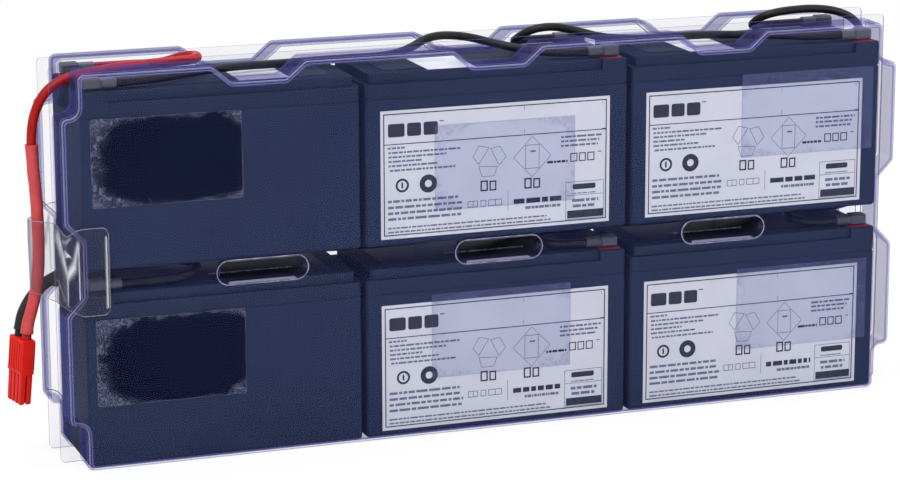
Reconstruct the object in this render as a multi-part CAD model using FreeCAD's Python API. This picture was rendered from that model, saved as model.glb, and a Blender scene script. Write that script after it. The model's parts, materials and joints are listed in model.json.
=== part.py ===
import FreeCAD, Part
import math
import os

V = FreeCAD.Vector

# Cartridge of six sealed lead-acid batteries, three columns by two rows, held
# between two thermoformed clear trays that face each other.
# Frame: X along the row of batteries, Y from front to back, Z up.  The origin
# is the centre of the base that the trays stand on.  Millimetres throughout.

# ---------------------------------------------------------------- batteries
BATTERY_LENGTH = 151.0
BATTERY_DEPTH = 65.0
CASE_HEIGHT = 81.0          # case, up to the glued joint with the lid
LOWER_TIER = 7.5            # lid's lower tier, above the joint
UPPER_TIER = 5.5            # lid's upper tier, above the lower
COLUMNS = 3
COLUMN_GAP = 2.7
ROW_GAP = 12.7
CASE_CORNER = 2.0           # radius of the upright edges
CASE_ROUND = 2.4            # round of the bottom edge
JOINT_GROOVE = 0.5          # depth of the groove at the lid joint
JOINT_GROOVE_HEIGHT = 1.0
LID_STEP = 2.4              # upper tier's inset at front and back
LID_END_STEP = 3.0          # upper tier's inset at the plain end
TERMINAL_BLOCK = 15.0       # full-size block at the terminal end
LID_EDGE = 0.8              # round of the lid's top edges

COVER_LENGTH = 112.0        # glued plate over the vent valves
COVER_WIDTH = 46.0
COVER_DEPTH = 1.0           # depth of its recess, filled by the plate
COVER_CORNER = 4.0
COVER_GAP = 0.3
COVER_RISE = 0.3
VENT_SLOT = (6.0, 1.2, 0.6)     # length, width, depth
VENT_PITCH = 17.0

# ---------------------------------------------------------------- terminals
TAB_INSET = 8.0             # tab centre from the end and from the long sides
TAB_WIDTH = 6.35
TAB_THICKNESS = 0.8
TAB_HEIGHT = 6.0            # above the lid
TAB_HOLE = 1.7
TAB_HOLE_DROP = 2.6         # hole's centre below the tab's end
TAB_CHAMFER = 1.0
SEAT_SIZE = 12.0
SEAT_RECESS = 0.8
SEAT_HEIGHT = 1.2
SEAT_CORNER = 1.5

# ------------------------------------------------------------------- trays
SHEET = 1.0                 # thickness of the clear sheet
PAD_GAP = 0.6               # between a battery's face and the tray's panel
SIDE_CLEARANCE = 0.4        # between the end batteries and the side walls
TRAY_DEPTH = 21.0           # from the front panel to the rim
HEADROOM = 10.6             # from the batteries' tops to the top wall, at the panel
TOP_DRAFT = 0.3             # rise of the top wall from the panel to the rim
BULGE = 10.6                # side bulge, from the batteries' side
FLANGE_REACH = 11.6         # rim flange, from the batteries' side
FLANGE_LIP = 1.2            # rim flange, above the top wall
FLANGE_FOOT = 0.5           # rim flange's lower edge, above the base
FLANGE_CORNER = 2.5
PANEL_ROUND = 3.0           # round between the panel and the walls
LOWER_BULGE = (24.0, 60.0)  # full-width stretch: its start above the row's base, its height
UPPER_BULGE = (25.3, 57.0)
BULGE_TAPER = 9.5           # rise of the bulges' sloping ends
LOWER_FILLET = 5.0          # hollow corner under the lower bulge
UPPER_FILLET = 5.0          # hollow corner above the upper bulge
EDGE_CORNER = 3.8           # outward corners of the bulges and notches

NOTCH_PITCH = 133.5         # between the notches in the top wall
NOTCH_CLEARANCE = 0.2       # between a notch's floor and the sticker under it
NOTCH_HALF_FLOOR = 14.5
NOTCH_SLOPE = 1.18          # sideways run of its ends for each mm of rise
HOLLOW_CORNER = 2.0         # hollow corners of the bulges and notches

SLOT_LENGTH = 46.0          # finger slot, clear opening
SLOT_FLARE = 2.0            # widening at the panel, at each end
SLOT_LIP = 0.8              # widening at the panel, above and below
SLOT_DEPTH = 9.0            # depth of the turned-in rim
SLOT_FLARE_DEPTH = 2.4

# --------------------------------------------------- labels, pads, stickers
LABEL_LEFT = 8.5            # bare margins of the case round its label
LABEL_RIGHT = 10.5
LABEL_BASE = 4.0
LABEL_TOP = 7.0
PAPER = 0.15
PAD_WIDTH = 81.0
PAD_HEIGHT = 47.0
REAR_PAD_BASE = 27.0        # above the row's base
PAD_PLACE = {               # front pad, stuck on by hand: from its battery's left end and base
    ("left", "upper"): (5.0, 33.5),
    ("middle", "upper"): (39.0, 17.5),
    ("right", "upper"): (66.0, 33.5),
    ("left", "lower"): (5.0, 33.5),
    ("middle", "lower"): (37.0, 31.0),
    ("right", "lower"): (65.0, 29.5),
}
STICKER_LENGTH = 27.0
STICKER_WIDTH = 35.0
STICKER_SHIFT = 25.5        # from the battery's middle, towards its plain end
STICKER_Y = {"left": -7.0, "middle": -12.0, "right": -10.0}

# ------------------------------------------------------------------- leads
JUMPER_D = 4.6
LEAD_D = 5.2
SLEEVE_D = 6.9
SLEEVE_CLEARANCE = 0.1
RECEPTACLE = (10.0, 7.6, 6.2)   # length, width, height
RECEPTACLE_CHAMFER = 1.0
RECEPTACLE_GAP = 0.2        # above its seat
WIRE_LIFT = 3.4             # barrel's axis above the lid
BARREL_D = 6.0
BARREL_LENGTH = 8.0
APPROACH = 15.0             # straight run of a wire out of its receptacle
TAB_CLEARANCE = 0.1
SLEEVE_LENGTH = {"red": 103.0, "black": 38.0}
HOUSING = 7.9               # square section of one pole of the plug
HOUSING_GAP = 0.1           # between the two poles
HOUSING_BODY = 18.5
HOUSING_NOSE = 17.0
HOUSING_TURN = -52.0        # plug's turn about the upright
HOUSING_ROUND = 0.7
NOSE_STEP = 0.5
NOSE_ROOT = 1.6             # solid part of the nose, above its slit
PRONG_CHAMFER = 0.6
PLUG_OUT = 27.0             # plug's middle, from the batteries' side
PLUG_HEIGHT = 67.5          # its top
SOCKET_DEPTH = 5.0
SOCKET_CLEARANCE = 0.15
CONTACT = (1.2, 5.0, 13.0)  # blade: thickness, width, length
CONTACT_CLEARANCE = 0.2

# -------------------------------------------------------------------- tape
TAPE = 0.3
TAPE_BASE = 84.5
TAPE_HEIGHT = 47.0
TAPE_END = 13.0             # its reach onto each panel
TAPE_CLEARANCE = 0.15
TAPE_BEND = 2.0             # radius of its folds
TAPE_HALF_BULGE = 7.2       # half of its flat stretch outside the leads
TAPE_BULGE = 24.6           # its reach round the leads, from the batteries' side
TAPE_RISE = 9.5             # how much higher its lower edge lies at the leads

# -------------------------------------------------------- derived positions
LEDGE_HEIGHT = CASE_HEIGHT + LOWER_TIER
BATTERY_HEIGHT = LEDGE_HEIGHT + UPPER_TIER      # without the tabs
PITCH_X = BATTERY_LENGTH + COLUMN_GAP
PITCH_Z = BATTERY_HEIGHT + ROW_GAP
PACK_HALF = (COLUMNS * BATTERY_LENGTH + (COLUMNS - 1) * COLUMN_GAP) / 2
PACK_FRONT = -BATTERY_DEPTH / 2
PANEL_INNER = PACK_FRONT - PAD_GAP
PANEL = PANEL_INNER - SHEET
RIM = PANEL + TRAY_DEPTH
NARROW = PACK_HALF + SIDE_CLEARANCE + SHEET
WIDE = PACK_HALF + BULGE
BODY_CORNER = CASE_ROUND + SIDE_CLEARANCE + SHEET   # keeps the sheet's round outside the case's
FLANGE_HALF = PACK_HALF + FLANGE_REACH
ROW_BASE = {"upper": SHEET + PITCH_Z, "lower": SHEET}
PACK_TOP = ROW_BASE["upper"] + BATTERY_HEIGHT
TOP_EDGE = PACK_TOP + HEADROOM
TOP_RIM = TOP_EDGE + TOP_DRAFT
FLANGE_TOP = TOP_RIM + FLANGE_LIP
NOTCH_FLOOR = PACK_TOP + COVER_RISE + PAPER + NOTCH_CLEARANCE + SHEET
COLUMN_LEFT = {"left": -PACK_HALF, "middle": -PACK_HALF + PITCH_X, "right": -PACK_HALF + 2 * PITCH_X}
TAB_Y = BATTERY_DEPTH / 2 - TAB_INSET
PLUG_TOP = (-PACK_HALF - PLUG_OUT, 0.0, PLUG_HEIGHT)
WIRE_RISE = BATTERY_HEIGHT + WIRE_LIFT
SEAT_RISE = SEAT_HEIGHT - SEAT_RECESS       # seats' tops above the lid
LABEL_WIDTH = BATTERY_LENGTH - LABEL_LEFT - LABEL_RIGHT
LABEL_HEIGHT = CASE_HEIGHT - LABEL_BASE - LABEL_TOP


def box(x0, y0, z0, x1, y1, z1):
    return Part.makeBox(x1 - x0, y1 - y0, z1 - z0, V(x0, y0, z0))


def rounded_box(x0, y0, z0, x1, y1, z1, radius):
    """Box with its four upright edges rounded."""
    solid = box(x0, y0, z0, x1, y1, z1)
    return solid.makeFillet(radius, upright_edges(solid))


def upright_edges(solid):
    return [e for e in solid.Edges if abs(e.tangentAt(e.FirstParameter).z) > 0.999]


def edges_at_height(solid, z):
    found = []
    for edge in solid.Edges:
        bounds = edge.BoundBox
        if abs(bounds.ZMin - z) < 1e-4 and abs(bounds.ZMax - z) < 1e-4:
            found.append(edge)
    return found


def rounded_polygon(corners, place):
    """Closed wire through (a, b, radius) corners; place turns (a, b) into a point."""
    count = len(corners)
    points = [place(a, b) for a, b, radius in corners]
    bends = []
    for i in range(count):
        here = points[i]
        before = points[i - 1] - here
        after = points[(i + 1) % count] - here
        before.normalize()
        after.normalize()
        radius = corners[i][2]
        half = before.getAngle(after) / 2
        reach = radius / math.tan(half)
        inwards = before + after
        inwards.normalize()
        middle = here + inwards * (radius / math.sin(half) - radius)
        bends.append((here + before * reach, middle, here + after * reach))
    edges = []
    for i in range(count):
        first, middle, last = bends[i]
        if corners[i][2] > 0:
            edges.append(Part.Arc(first, middle, last).toShape())
        edges.append(Part.LineSegment(last, bends[(i + 1) % count][0]).toShape())
    return Part.Wire(edges)


def at_depth(y):
    """Places a front view's (x, z) at depth y."""
    return lambda x, z: V(x, y, z)


def stadium(cx, cz, length, height, y):
    """Closed wire of a slot with round ends at depth y."""
    r = height / 2
    half = length / 2 - r
    return Part.Wire([
        Part.LineSegment(V(cx - half, y, cz - r), V(cx + half, y, cz - r)).toShape(),
        Part.Arc(V(cx + half, y, cz - r), V(cx + half + r, y, cz), V(cx + half, y, cz + r)).toShape(),
        Part.LineSegment(V(cx + half, y, cz + r), V(cx - half, y, cz + r)).toShape(),
        Part.Arc(V(cx - half, y, cz + r), V(cx - half - r, y, cz), V(cx - half, y, cz - r)).toShape(),
    ])


# ------------------------------------------------------------------ battery

def battery_case():
    """Case of one battery, its lower left front corner at the origin."""
    solid = rounded_box(0, 0, 0, BATTERY_LENGTH, BATTERY_DEPTH, CASE_HEIGHT, CASE_CORNER)
    solid = solid.makeFillet(CASE_ROUND, edges_at_height(solid, 0))
    rim = rounded_box(0, 0, CASE_HEIGHT - JOINT_GROOVE_HEIGHT, BATTERY_LENGTH, BATTERY_DEPTH,
                      CASE_HEIGHT, CASE_CORNER)
    g = JOINT_GROOVE
    core = rounded_box(g, g, CASE_HEIGHT - JOINT_GROOVE_HEIGHT, BATTERY_LENGTH - g, BATTERY_DEPTH - g,
                       CASE_HEIGHT, CASE_CORNER - g)
    return solid.cut(rim.cut(core))


def seat_box(front, depth_from_top, rise):
    """Square of one terminal seat, at the terminal end of the lid."""
    y = TAB_INSET if front else BATTERY_DEPTH - TAB_INSET
    x = BATTERY_LENGTH - TAB_INSET
    h = SEAT_SIZE / 2
    return rounded_box(x - h, y - h, BATTERY_HEIGHT - depth_from_top, x + h, y + h,
                       BATTERY_HEIGHT + rise, SEAT_CORNER)


def cover_box(grow, low, high):
    x0 = LID_END_STEP + (BATTERY_LENGTH - TERMINAL_BLOCK - LID_END_STEP - COVER_LENGTH) / 2
    y0 = (BATTERY_DEPTH - COVER_WIDTH) / 2
    return rounded_box(x0 - grow, y0 - grow, low, x0 + COVER_LENGTH + grow, y0 + COVER_WIDTH + grow,
                       high, COVER_CORNER + grow)


def battery_lid():
    """Lid with terminals at its right end."""
    lower = rounded_box(0, 0, CASE_HEIGHT, BATTERY_LENGTH, BATTERY_DEPTH, LEDGE_HEIGHT, CASE_CORNER)
    upper = box(LID_END_STEP, LID_STEP, LEDGE_HEIGHT, BATTERY_LENGTH - TERMINAL_BLOCK,
                BATTERY_DEPTH - LID_STEP, BATTERY_HEIGHT)
    left_edges = [e for e in upright_edges(upper) if e.BoundBox.XMax < LID_END_STEP + 1]
    upper = upper.makeFillet(CASE_CORNER, left_edges)
    block = box(BATTERY_LENGTH - TERMINAL_BLOCK, 0, LEDGE_HEIGHT, BATTERY_LENGTH, BATTERY_DEPTH,
                BATTERY_HEIGHT)
    right_edges = [e for e in upright_edges(block) if e.BoundBox.XMin > BATTERY_LENGTH - 1]
    block = block.makeFillet(CASE_CORNER, right_edges)
    lid = lower.fuse([upper, block]).removeSplitter()
    lid = lid.makeFillet(LID_EDGE, edges_at_height(lid, BATTERY_HEIGHT))
    lid = lid.cut(cover_box(COVER_GAP, BATTERY_HEIGHT - COVER_DEPTH, BATTERY_HEIGHT + 1))
    for front in (True, False):
        lid = lid.cut(seat_box(front, SEAT_RECESS, 1))
    return lid


def vent_cover():
    """Plate glued over the vent valves, with a row of small gas slots."""
    plate = cover_box(0, BATTERY_HEIGHT - COVER_DEPTH, BATTERY_HEIGHT + COVER_RISE)
    bounds = plate.BoundBox
    centre_x = (bounds.XMin + bounds.XMax) / 2
    length, width, depth = VENT_SLOT
    for i in range(6):
        x = centre_x + (i - 2.5) * VENT_PITCH
        plate = plate.cut(box(x - length / 2, bounds.YMin - 1, BATTERY_HEIGHT + COVER_RISE - depth,
                              x + length / 2, bounds.YMin + width, BATTERY_HEIGHT + COVER_RISE))
    return plate


def terminal_tab(front):
    """Upright blade with its retaining hole, standing on its seat."""
    y = TAB_INSET if front else BATTERY_DEPTH - TAB_INSET
    x = BATTERY_LENGTH - TAB_INSET
    base = BATTERY_HEIGHT + SEAT_RISE
    top = BATTERY_HEIGHT + TAB_HEIGHT
    t = TAB_THICKNESS / 2
    w = TAB_WIDTH / 2
    blade = box(x - w, y - t, base, x + w, y + t, top)
    shoulders = [e for e in blade.Edges if abs(e.tangentAt(0).y) > 0.99 and e.BoundBox.ZMin > top - 0.1]
    blade = blade.makeChamfer(TAB_CHAMFER, shoulders)
    hole = Part.makeCylinder(TAB_HOLE / 2, 2 * TAB_WIDTH, V(x, y - TAB_WIDTH, top - TAB_HOLE_DROP),
                             V(0, 1, 0))
    return blade.cut(hole)


def receptacle(front):
    """Insulated flag receptacle on a tab, its barrel pointing along -X."""
    length, width, height = RECEPTACLE
    x0 = BATTERY_LENGTH - TAB_INSET - length / 2
    z0 = BATTERY_HEIGHT + SEAT_RISE + RECEPTACLE_GAP
    y = TAB_INSET if front else BATTERY_DEPTH - TAB_INSET
    body = box(x0, y - width / 2, z0, x0 + length, y + width / 2, z0 + height)
    body = body.makeChamfer(RECEPTACLE_CHAMFER, body.Edges)
    overlap = length / 5
    barrel = Part.makeCylinder(BARREL_D / 2, BARREL_LENGTH + overlap, V(x0 + overlap, y, WIRE_RISE),
                               V(-1, 0, 0))
    body = body.fuse(barrel)
    c = TAB_CLEARANCE
    w = TAB_WIDTH / 2 + c
    t = TAB_THICKNESS / 2 + c
    x = BATTERY_LENGTH - TAB_INSET
    return body.cut(box(x - w, y - t, z0 - 1, x + w, y + t, BATTERY_HEIGHT + TAB_HEIGHT + c))


def turned(shape):
    """The same piece on a battery that is turned end for end."""
    centre = V(BATTERY_LENGTH / 2, BATTERY_DEPTH / 2, 0)
    copy = shape.copy()
    copy.rotate(centre, V(0, 0, 1), 180)
    return copy


def placed(shape, column, row):
    """Puts a piece of one battery in its place in the pack."""
    copy = turned(shape) if column == "left" else shape.copy()
    copy.translate(V(COLUMN_LEFT[column], PACK_FRONT, ROW_BASE[row]))
    return copy


# -------------------------------------------------------------------- trays

def tray_corners(inset, top):
    """Front view of a tray's walls as (x, z, radius): bulges at the sides, notches in the top.

    inset moves the whole outline inwards, which gives the sheet its inner face.
    top is the height of the top wall's outer face.
    """
    s = inset
    narrow = NARROW - s
    wide = WIDE - s
    low0 = ROW_BASE["lower"] + LOWER_BULGE[0]
    low1 = low0 + LOWER_BULGE[1]
    up0 = ROW_BASE["upper"] + UPPER_BULGE[0]
    up1 = up0 + UPPER_BULGE[1]
    slant = BULGE_TAPER / (WIDE - NARROW)
    shift = s * (math.sqrt(1 + slant * slant) - slant)
    convex = BODY_CORNER - s
    corner = EDGE_CORNER - s
    right = [
        (narrow, s, convex),
        (narrow, low0 + s, LOWER_FILLET + s),
        (wide, low0 + s, corner),
        (wide, low1 - shift, corner),
        (narrow, low1 + BULGE_TAPER - shift, HOLLOW_CORNER + s),
        (narrow, up0 - BULGE_TAPER + shift, HOLLOW_CORNER + s),
        (wide, up0 + shift, corner),
        (wide, up1 - s, corner),
        (narrow, up1 - s, UPPER_FILLET + s),
        (narrow, top - s, convex),
    ]
    left = [(-x, z, r) for x, z, r in reversed(right)]
    across = s * (math.sqrt(1 + NOTCH_SLOPE * NOTCH_SLOPE) - NOTCH_SLOPE)
    floor = NOTCH_FLOOR - s
    half_floor = NOTCH_HALF_FLOOR + across
    half_top = half_floor + (top - NOTCH_FLOOR) * NOTCH_SLOPE
    across_top = []
    for i in (1, 0, -1):
        centre = i * NOTCH_PITCH
        across_top += [
            (centre + half_top, top - s, corner),
            (centre + half_floor, floor, HOLLOW_CORNER + s),
            (centre - half_floor, floor, HOLLOW_CORNER + s),
            (centre - half_top, top - s, corner),
        ]
    return right + across_top + left


def edge_back_from(block, corner):
    """The edge of the block that runs back from a corner of its panel."""
    for edge in block.Edges:
        ends = [vertex.Point for vertex in edge.Vertexes]
        nearest = min(end.distanceToPoint(corner) for end in ends)
        if nearest < 1e-3 and max(end.y for end in ends) > corner.y + 1:
            return edge
    raise ValueError("no edge runs back from %s" % corner)


def tray_block(inset):
    """Solid filled tray: a prism under the drafted top, with its corners and panel edges rounded."""
    y = PANEL + inset
    on_panel = at_depth(y)
    above = TOP_RIM + TOP_DRAFT
    outline = [on_panel(x, z) for x, z, radius in tray_corners(inset, above)]
    block = Part.Face(Part.makePolygon(outline + outline[:1])).extrude(V(0, RIM - y, 0))
    side = [V(-WIDE, y, 0), V(-WIDE, RIM, 0), V(-WIDE, RIM, TOP_RIM - inset), V(-WIDE, y, TOP_EDGE - inset)]
    under_top = Part.Face(Part.makePolygon(side + side[:1])).extrude(V(2 * WIDE, 0, 0))
    block = block.common(under_top)
    corners = tray_corners(inset, TOP_EDGE)
    for size in sorted({radius for x, z, radius in corners}, reverse=True):
        edges = [edge_back_from(block, on_panel(x, z)) for x, z, radius in corners if radius == size]
        block = block.makeFillet(size, edges)
    panel_edges = [e for e in block.Edges if e.BoundBox.YMax < y + 1e-4]
    return block.makeFillet(PANEL_ROUND - inset, panel_edges)


def finger_slot(cx):
    """Turned-in rim of a finger slot, and the opening through it."""
    cz = SHEET + BATTERY_HEIGHT + ROW_GAP / 2
    clear = ROW_GAP - 2 * SHEET
    rim_wire = stadium(cx, cz, SLOT_LENGTH + 2 * SHEET, ROW_GAP, PANEL)
    rim = Part.Face(rim_wire).extrude(V(0, SLOT_DEPTH, 0))
    mouth = stadium(cx, cz, SLOT_LENGTH + 2 * SLOT_FLARE, clear + 2 * SLOT_LIP, PANEL)
    throat = stadium(cx, cz, SLOT_LENGTH, clear, PANEL + SLOT_FLARE_DEPTH)
    flare = Part.makeLoft([mouth, throat], True, True)
    bore = Part.Face(throat).extrude(V(0, SLOT_DEPTH, 0))
    return rim, flare.fuse(bore)


def front_tray():
    """Thermoformed tray: panel, walls, rim flange and the turned-in finger slots."""
    half = FLANGE_HALF
    corners = [
        (-half, FLANGE_FOOT, FLANGE_CORNER),
        (half, FLANGE_FOOT, FLANGE_CORNER),
        (half, FLANGE_TOP, FLANGE_CORNER),
        (-half, FLANGE_TOP, FLANGE_CORNER),
    ]
    flange = Part.Face(rounded_polygon(corners, at_depth(RIM - SHEET))).extrude(V(0, SHEET, 0))
    tray = tray_block(0).fuse(flange).cut(tray_block(SHEET))
    for i in (-1, 0, 1):
        rim, opening = finger_slot(i * NOTCH_PITCH)
        tray = tray.fuse(rim).cut(opening)
    return tray.removeSplitter()


def to_rear(shape):
    """The mirror image of a front piece, for the tray behind."""
    return shape.mirror(V(0, 0, 0), V(0, 1, 0))


# ------------------------------------------------------------ flat pieces

def label(column, row):
    x = COLUMN_LEFT[column] + LABEL_LEFT
    z = ROW_BASE[row] + LABEL_BASE
    return box(x, PACK_FRONT - PAPER, z, x + LABEL_WIDTH, PACK_FRONT, z + LABEL_HEIGHT)


def front_pad(column, row):
    """Clear double-sided pad between a battery, or its label, and the panel."""
    along, up = PAD_PLACE[column, row]
    x = COLUMN_LEFT[column] + along
    z = ROW_BASE[row] + up
    pad = box(x, PANEL_INNER, z, x + PAD_WIDTH, PACK_FRONT, z + PAD_HEIGHT)
    if column != "left":
        pad = pad.cut(label(column, row))
    return pad


def rear_pad(column, row):
    x = COLUMN_LEFT[column] + (BATTERY_LENGTH - PAD_WIDTH) / 2
    z = ROW_BASE[row] + REAR_PAD_BASE
    return box(x, -PACK_FRONT, z, x + PAD_WIDTH, -PANEL_INNER, z + PAD_HEIGHT)


def top_sticker(column):
    """Small white sticker on top of a battery's vent cover."""
    shift = STICKER_SHIFT if column == "left" else -STICKER_SHIFT
    x = COLUMN_LEFT[column] + BATTERY_LENGTH / 2 + shift
    y = STICKER_Y[column]
    z = PACK_TOP + COVER_RISE
    return box(x - STICKER_LENGTH / 2, y - STICKER_WIDTH / 2, z, x + STICKER_LENGTH / 2,
               y + STICKER_WIDTH / 2, z + PAPER)


# -------------------------------------------------------------------- leads

def route_edges(points):
    """Straight runs joined by tangent arcs, as large as the runs allow."""
    points = [V(*p) for p in points]
    edges = []
    radii = []
    start = points[0]
    for i in range(1, len(points) - 1):
        here = points[i]
        back = points[i - 1] - here
        ahead = points[i + 1] - here
        reach = 0.45 * min(back.Length, ahead.Length)
        back.normalize()
        ahead.normalize()
        half = back.getAngle(ahead) / 2
        radius = reach * math.tan(half)
        radii.append(radius)
        middle = back + ahead
        middle.normalize()
        middle = here + middle * (radius / math.sin(half) - radius)
        first = here + back * reach
        last = here + ahead * reach
        edges.append(Part.LineSegment(start, first).toShape())
        edges.append(Part.Arc(first, middle, last).toShape())
        start = last
    edges.append(Part.LineSegment(start, points[-1]).toShape())
    return edges, radii


def swept(edges, diameter):
    """Round tube along the edges, checked against its section times its length."""
    path = Part.Wire(edges)
    start = edges[0].valueAt(edges[0].FirstParameter)
    direction = edges[0].tangentAt(edges[0].FirstParameter)
    profile = Part.Wire([Part.makeCircle(diameter / 2, start, direction)])
    tube = path.makePipeShell([profile], True, False)
    expected = math.pi * diameter * diameter / 4 * path.Length
    if abs(tube.Volume / expected - 1) > 0.005:
        raise ValueError("the tube's volume is off: %.1f for %.1f" % (tube.Volume, expected))
    return tube


def wire_end(column, row, front):
    """Middle of the end of a receptacle's barrel, and the way it points."""
    x = BATTERY_LENGTH - TAB_INSET - RECEPTACLE[0] / 2 - BARREL_LENGTH
    y = -TAB_Y if front else TAB_Y
    if column == "left":
        x = BATTERY_LENGTH - x
    return (COLUMN_LEFT[column] + x, y, ROW_BASE[row] + WIRE_RISE)


def route(start, middle, end):
    """Route from one receptacle to another; middle lies between their straight runs."""
    return [start, leaving(start)] + middle + [leaving(end), end]


def leaving(end):
    """Point straight out of the receptacle that ends at the given point."""
    x, y, z = end
    out = 1 if x < COLUMN_LEFT["middle"] else -1
    return (x + out * APPROACH, y, z)


def over(row, x0, points):
    """Points of a route: their x is from x0, and their z from the height of a row's wires."""
    z0 = ROW_BASE[row] + WIRE_RISE
    return [(x0 + x, y, z0 + z) for x, y, z in points]


def jumper_routes():
    """The five jumpers that put the batteries in series."""
    return {
        "jumper_upper_left": route(
            wire_end("left", "upper", True),
            over("upper", COLUMN_LEFT["left"], [
                (61.2, -13, 0.1), (87.2, -4, 0.7), (117.2, -1, 0.1)
            ]) + over("upper", COLUMN_LEFT["middle"], [
                (-4.5, -2, 0.9), (21.5, -1, 0.4), (35.5, 0, 3.9), (48.5, 1, 12.9), (67.5, 2, 11.3)
            ]) + over("upper", COLUMN_LEFT["right"], [
                (-68.2, 0, 4.9), (-52.2, -12, 0.3)
            ]),
            wire_end("middle", "upper", True)),
        "jumper_upper_right": route(
            wire_end("middle", "upper", False),
            over("upper", COLUMN_LEFT["right"], [
                (-45.7, 22, 0.3), (-50.7, 16.5, 0.8), (-52.2, 9.5, 3.2), (-49.6, 3, 7.7),
                (-43.2, -1, 10.7), (-34.2, -2.6, 11.3), (-22.2, -3, 8.5), (-4.2, -2.5, 2.9),
                (21.8, 0, 0.5)
            ]) + over("upper", PACK_HALF, [
                (-101.2, 1, 1.1), (-73.2, -4, 0.3), (-52.2, -15, 0.1)
            ]),
            wire_end("right", "upper", True)),
        "jumper_right_side": route(
            wire_end("right", "upper", False),
            over("upper", PACK_HALF, [
                (-46.2, 23.3, 0.2), (-54.7, 18.5, 0.7), (-59.2, 10.8, 3.1), (-58.2, 4, 7.7),
                (-52.2, -0.4, 10.7), (-42.2, -1.6, 12.1), (-26.2, -1.2, 12.3), (-10.7, -0.8, 9.8),
                (0.8, -0.5, 4.1), (6.1, -0.4, -6.1), (5.4, -0.2, -21.1), (4.2, 0.6, -40.1)
            ]) + over("lower", PACK_HALF, [
                (4, 0, 45.6), (4.8, 0, 25.6), (5, -0.2, 11.8), (1.8, -0.4, 6.2), (-3.8, -0.4, 3),
                (-19.2, -0.9, 2.8), (-35.9, 0, 2.9), (-41.6, -3.4, 2.7), (-44.9, -9, 2.3),
                (-44.9, -15.6, 1.6), (-41.6, -21.2, 0.8)
            ]),
            wire_end("right", "lower", True)),
        "jumper_lower_right": route(
            wire_end("right", "lower", False),
            over("lower", PACK_HALF, [
                (-64.2, 13, 2.1), (-89.2, 3, 3.1)
            ]) + over("lower", COLUMN_LEFT["right"], [
                (29.8, 2, 2.4), (-2.2, 3, 3), (-24.2, 1.4, 2.6), (-38.3, 0, 2.9), (-44.2, -3.4, 2.7),
                (-47.5, -9, 2.3), (-47.5, -15.6, 1.6), (-44.2, -21.2, 0.8)
            ]),
            wire_end("middle", "lower", True)),
        "jumper_lower_left": route(
            wire_end("middle", "lower", False),
            over("lower", COLUMN_LEFT["right"], [
                (-68.2, 12, 2.2)
            ]) + over("lower", COLUMN_LEFT["middle"], [
                (53.5, 4, 2.8), (19.5, 2.5, 2.3), (-14.5, 4, 2.9)
            ]) + over("lower", COLUMN_LEFT["left"], [
                (105.2, 5, 2.4), (77.2, 12, 2.6), (53.2, 21.5, 1.2)
            ]),
            wire_end("left", "lower", False)),
    }


# The plug hangs beside the tray, at the end of both leads.
def plug_place(shape, side):
    """Puts one pole of the plug, drawn with its top at the origin, in its place."""
    shape = shape.copy()
    shape.translate(V(side * HOUSING / 2, 0, 0))
    shape.rotate(V(0, 0, 0), V(0, 0, 1), HOUSING_TURN)
    shape.translate(V(*PLUG_TOP))
    return shape


def plug_entry(side):
    """Middle of the floor of one pole's wire socket."""
    turn = math.radians(HOUSING_TURN)
    reach = side * HOUSING / 2
    x, y, z = PLUG_TOP
    return (x + reach * math.cos(turn), y + reach * math.sin(turn), z - SOCKET_DEPTH)


def plug_pole():
    """One pole: square body with a wire socket, and a forked nose."""
    h = HOUSING / 2 - HOUSING_GAP / 2
    body = rounded_box(-h, -h, -HOUSING_BODY, h, h, 0, HOUSING_ROUND)
    body = body.cut(Part.makeCylinder(LEAD_D / 2 + SOCKET_CLEARANCE, SOCKET_DEPTH, V(0, 0, -SOCKET_DEPTH)))
    waist = h - NOSE_STEP
    nose = box(-waist, -waist, -HOUSING_BODY - HOUSING_NOSE, waist, waist, -HOUSING_BODY)
    slit = CONTACT[0] / 2 + CONTACT_CLEARANCE
    nose = nose.cut(box(-slit, -h, -HOUSING_BODY - HOUSING_NOSE - 1, slit, h, -HOUSING_BODY - NOSE_ROOT))
    prong_ends = [e for e in nose.Edges if abs(e.BoundBox.ZMax + HOUSING_BODY + HOUSING_NOSE) < 1e-4]
    nose = nose.makeChamfer(PRONG_CHAMFER, prong_ends)
    return body.fuse(nose).removeSplitter()


def plug_contact():
    """Blade between the prongs of one pole."""
    thick, width, length = CONTACT
    low = -HOUSING_BODY - NOSE_ROOT - length
    return box(-thick / 2, -width / 2, low, thick / 2, width / 2, low + length)


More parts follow.
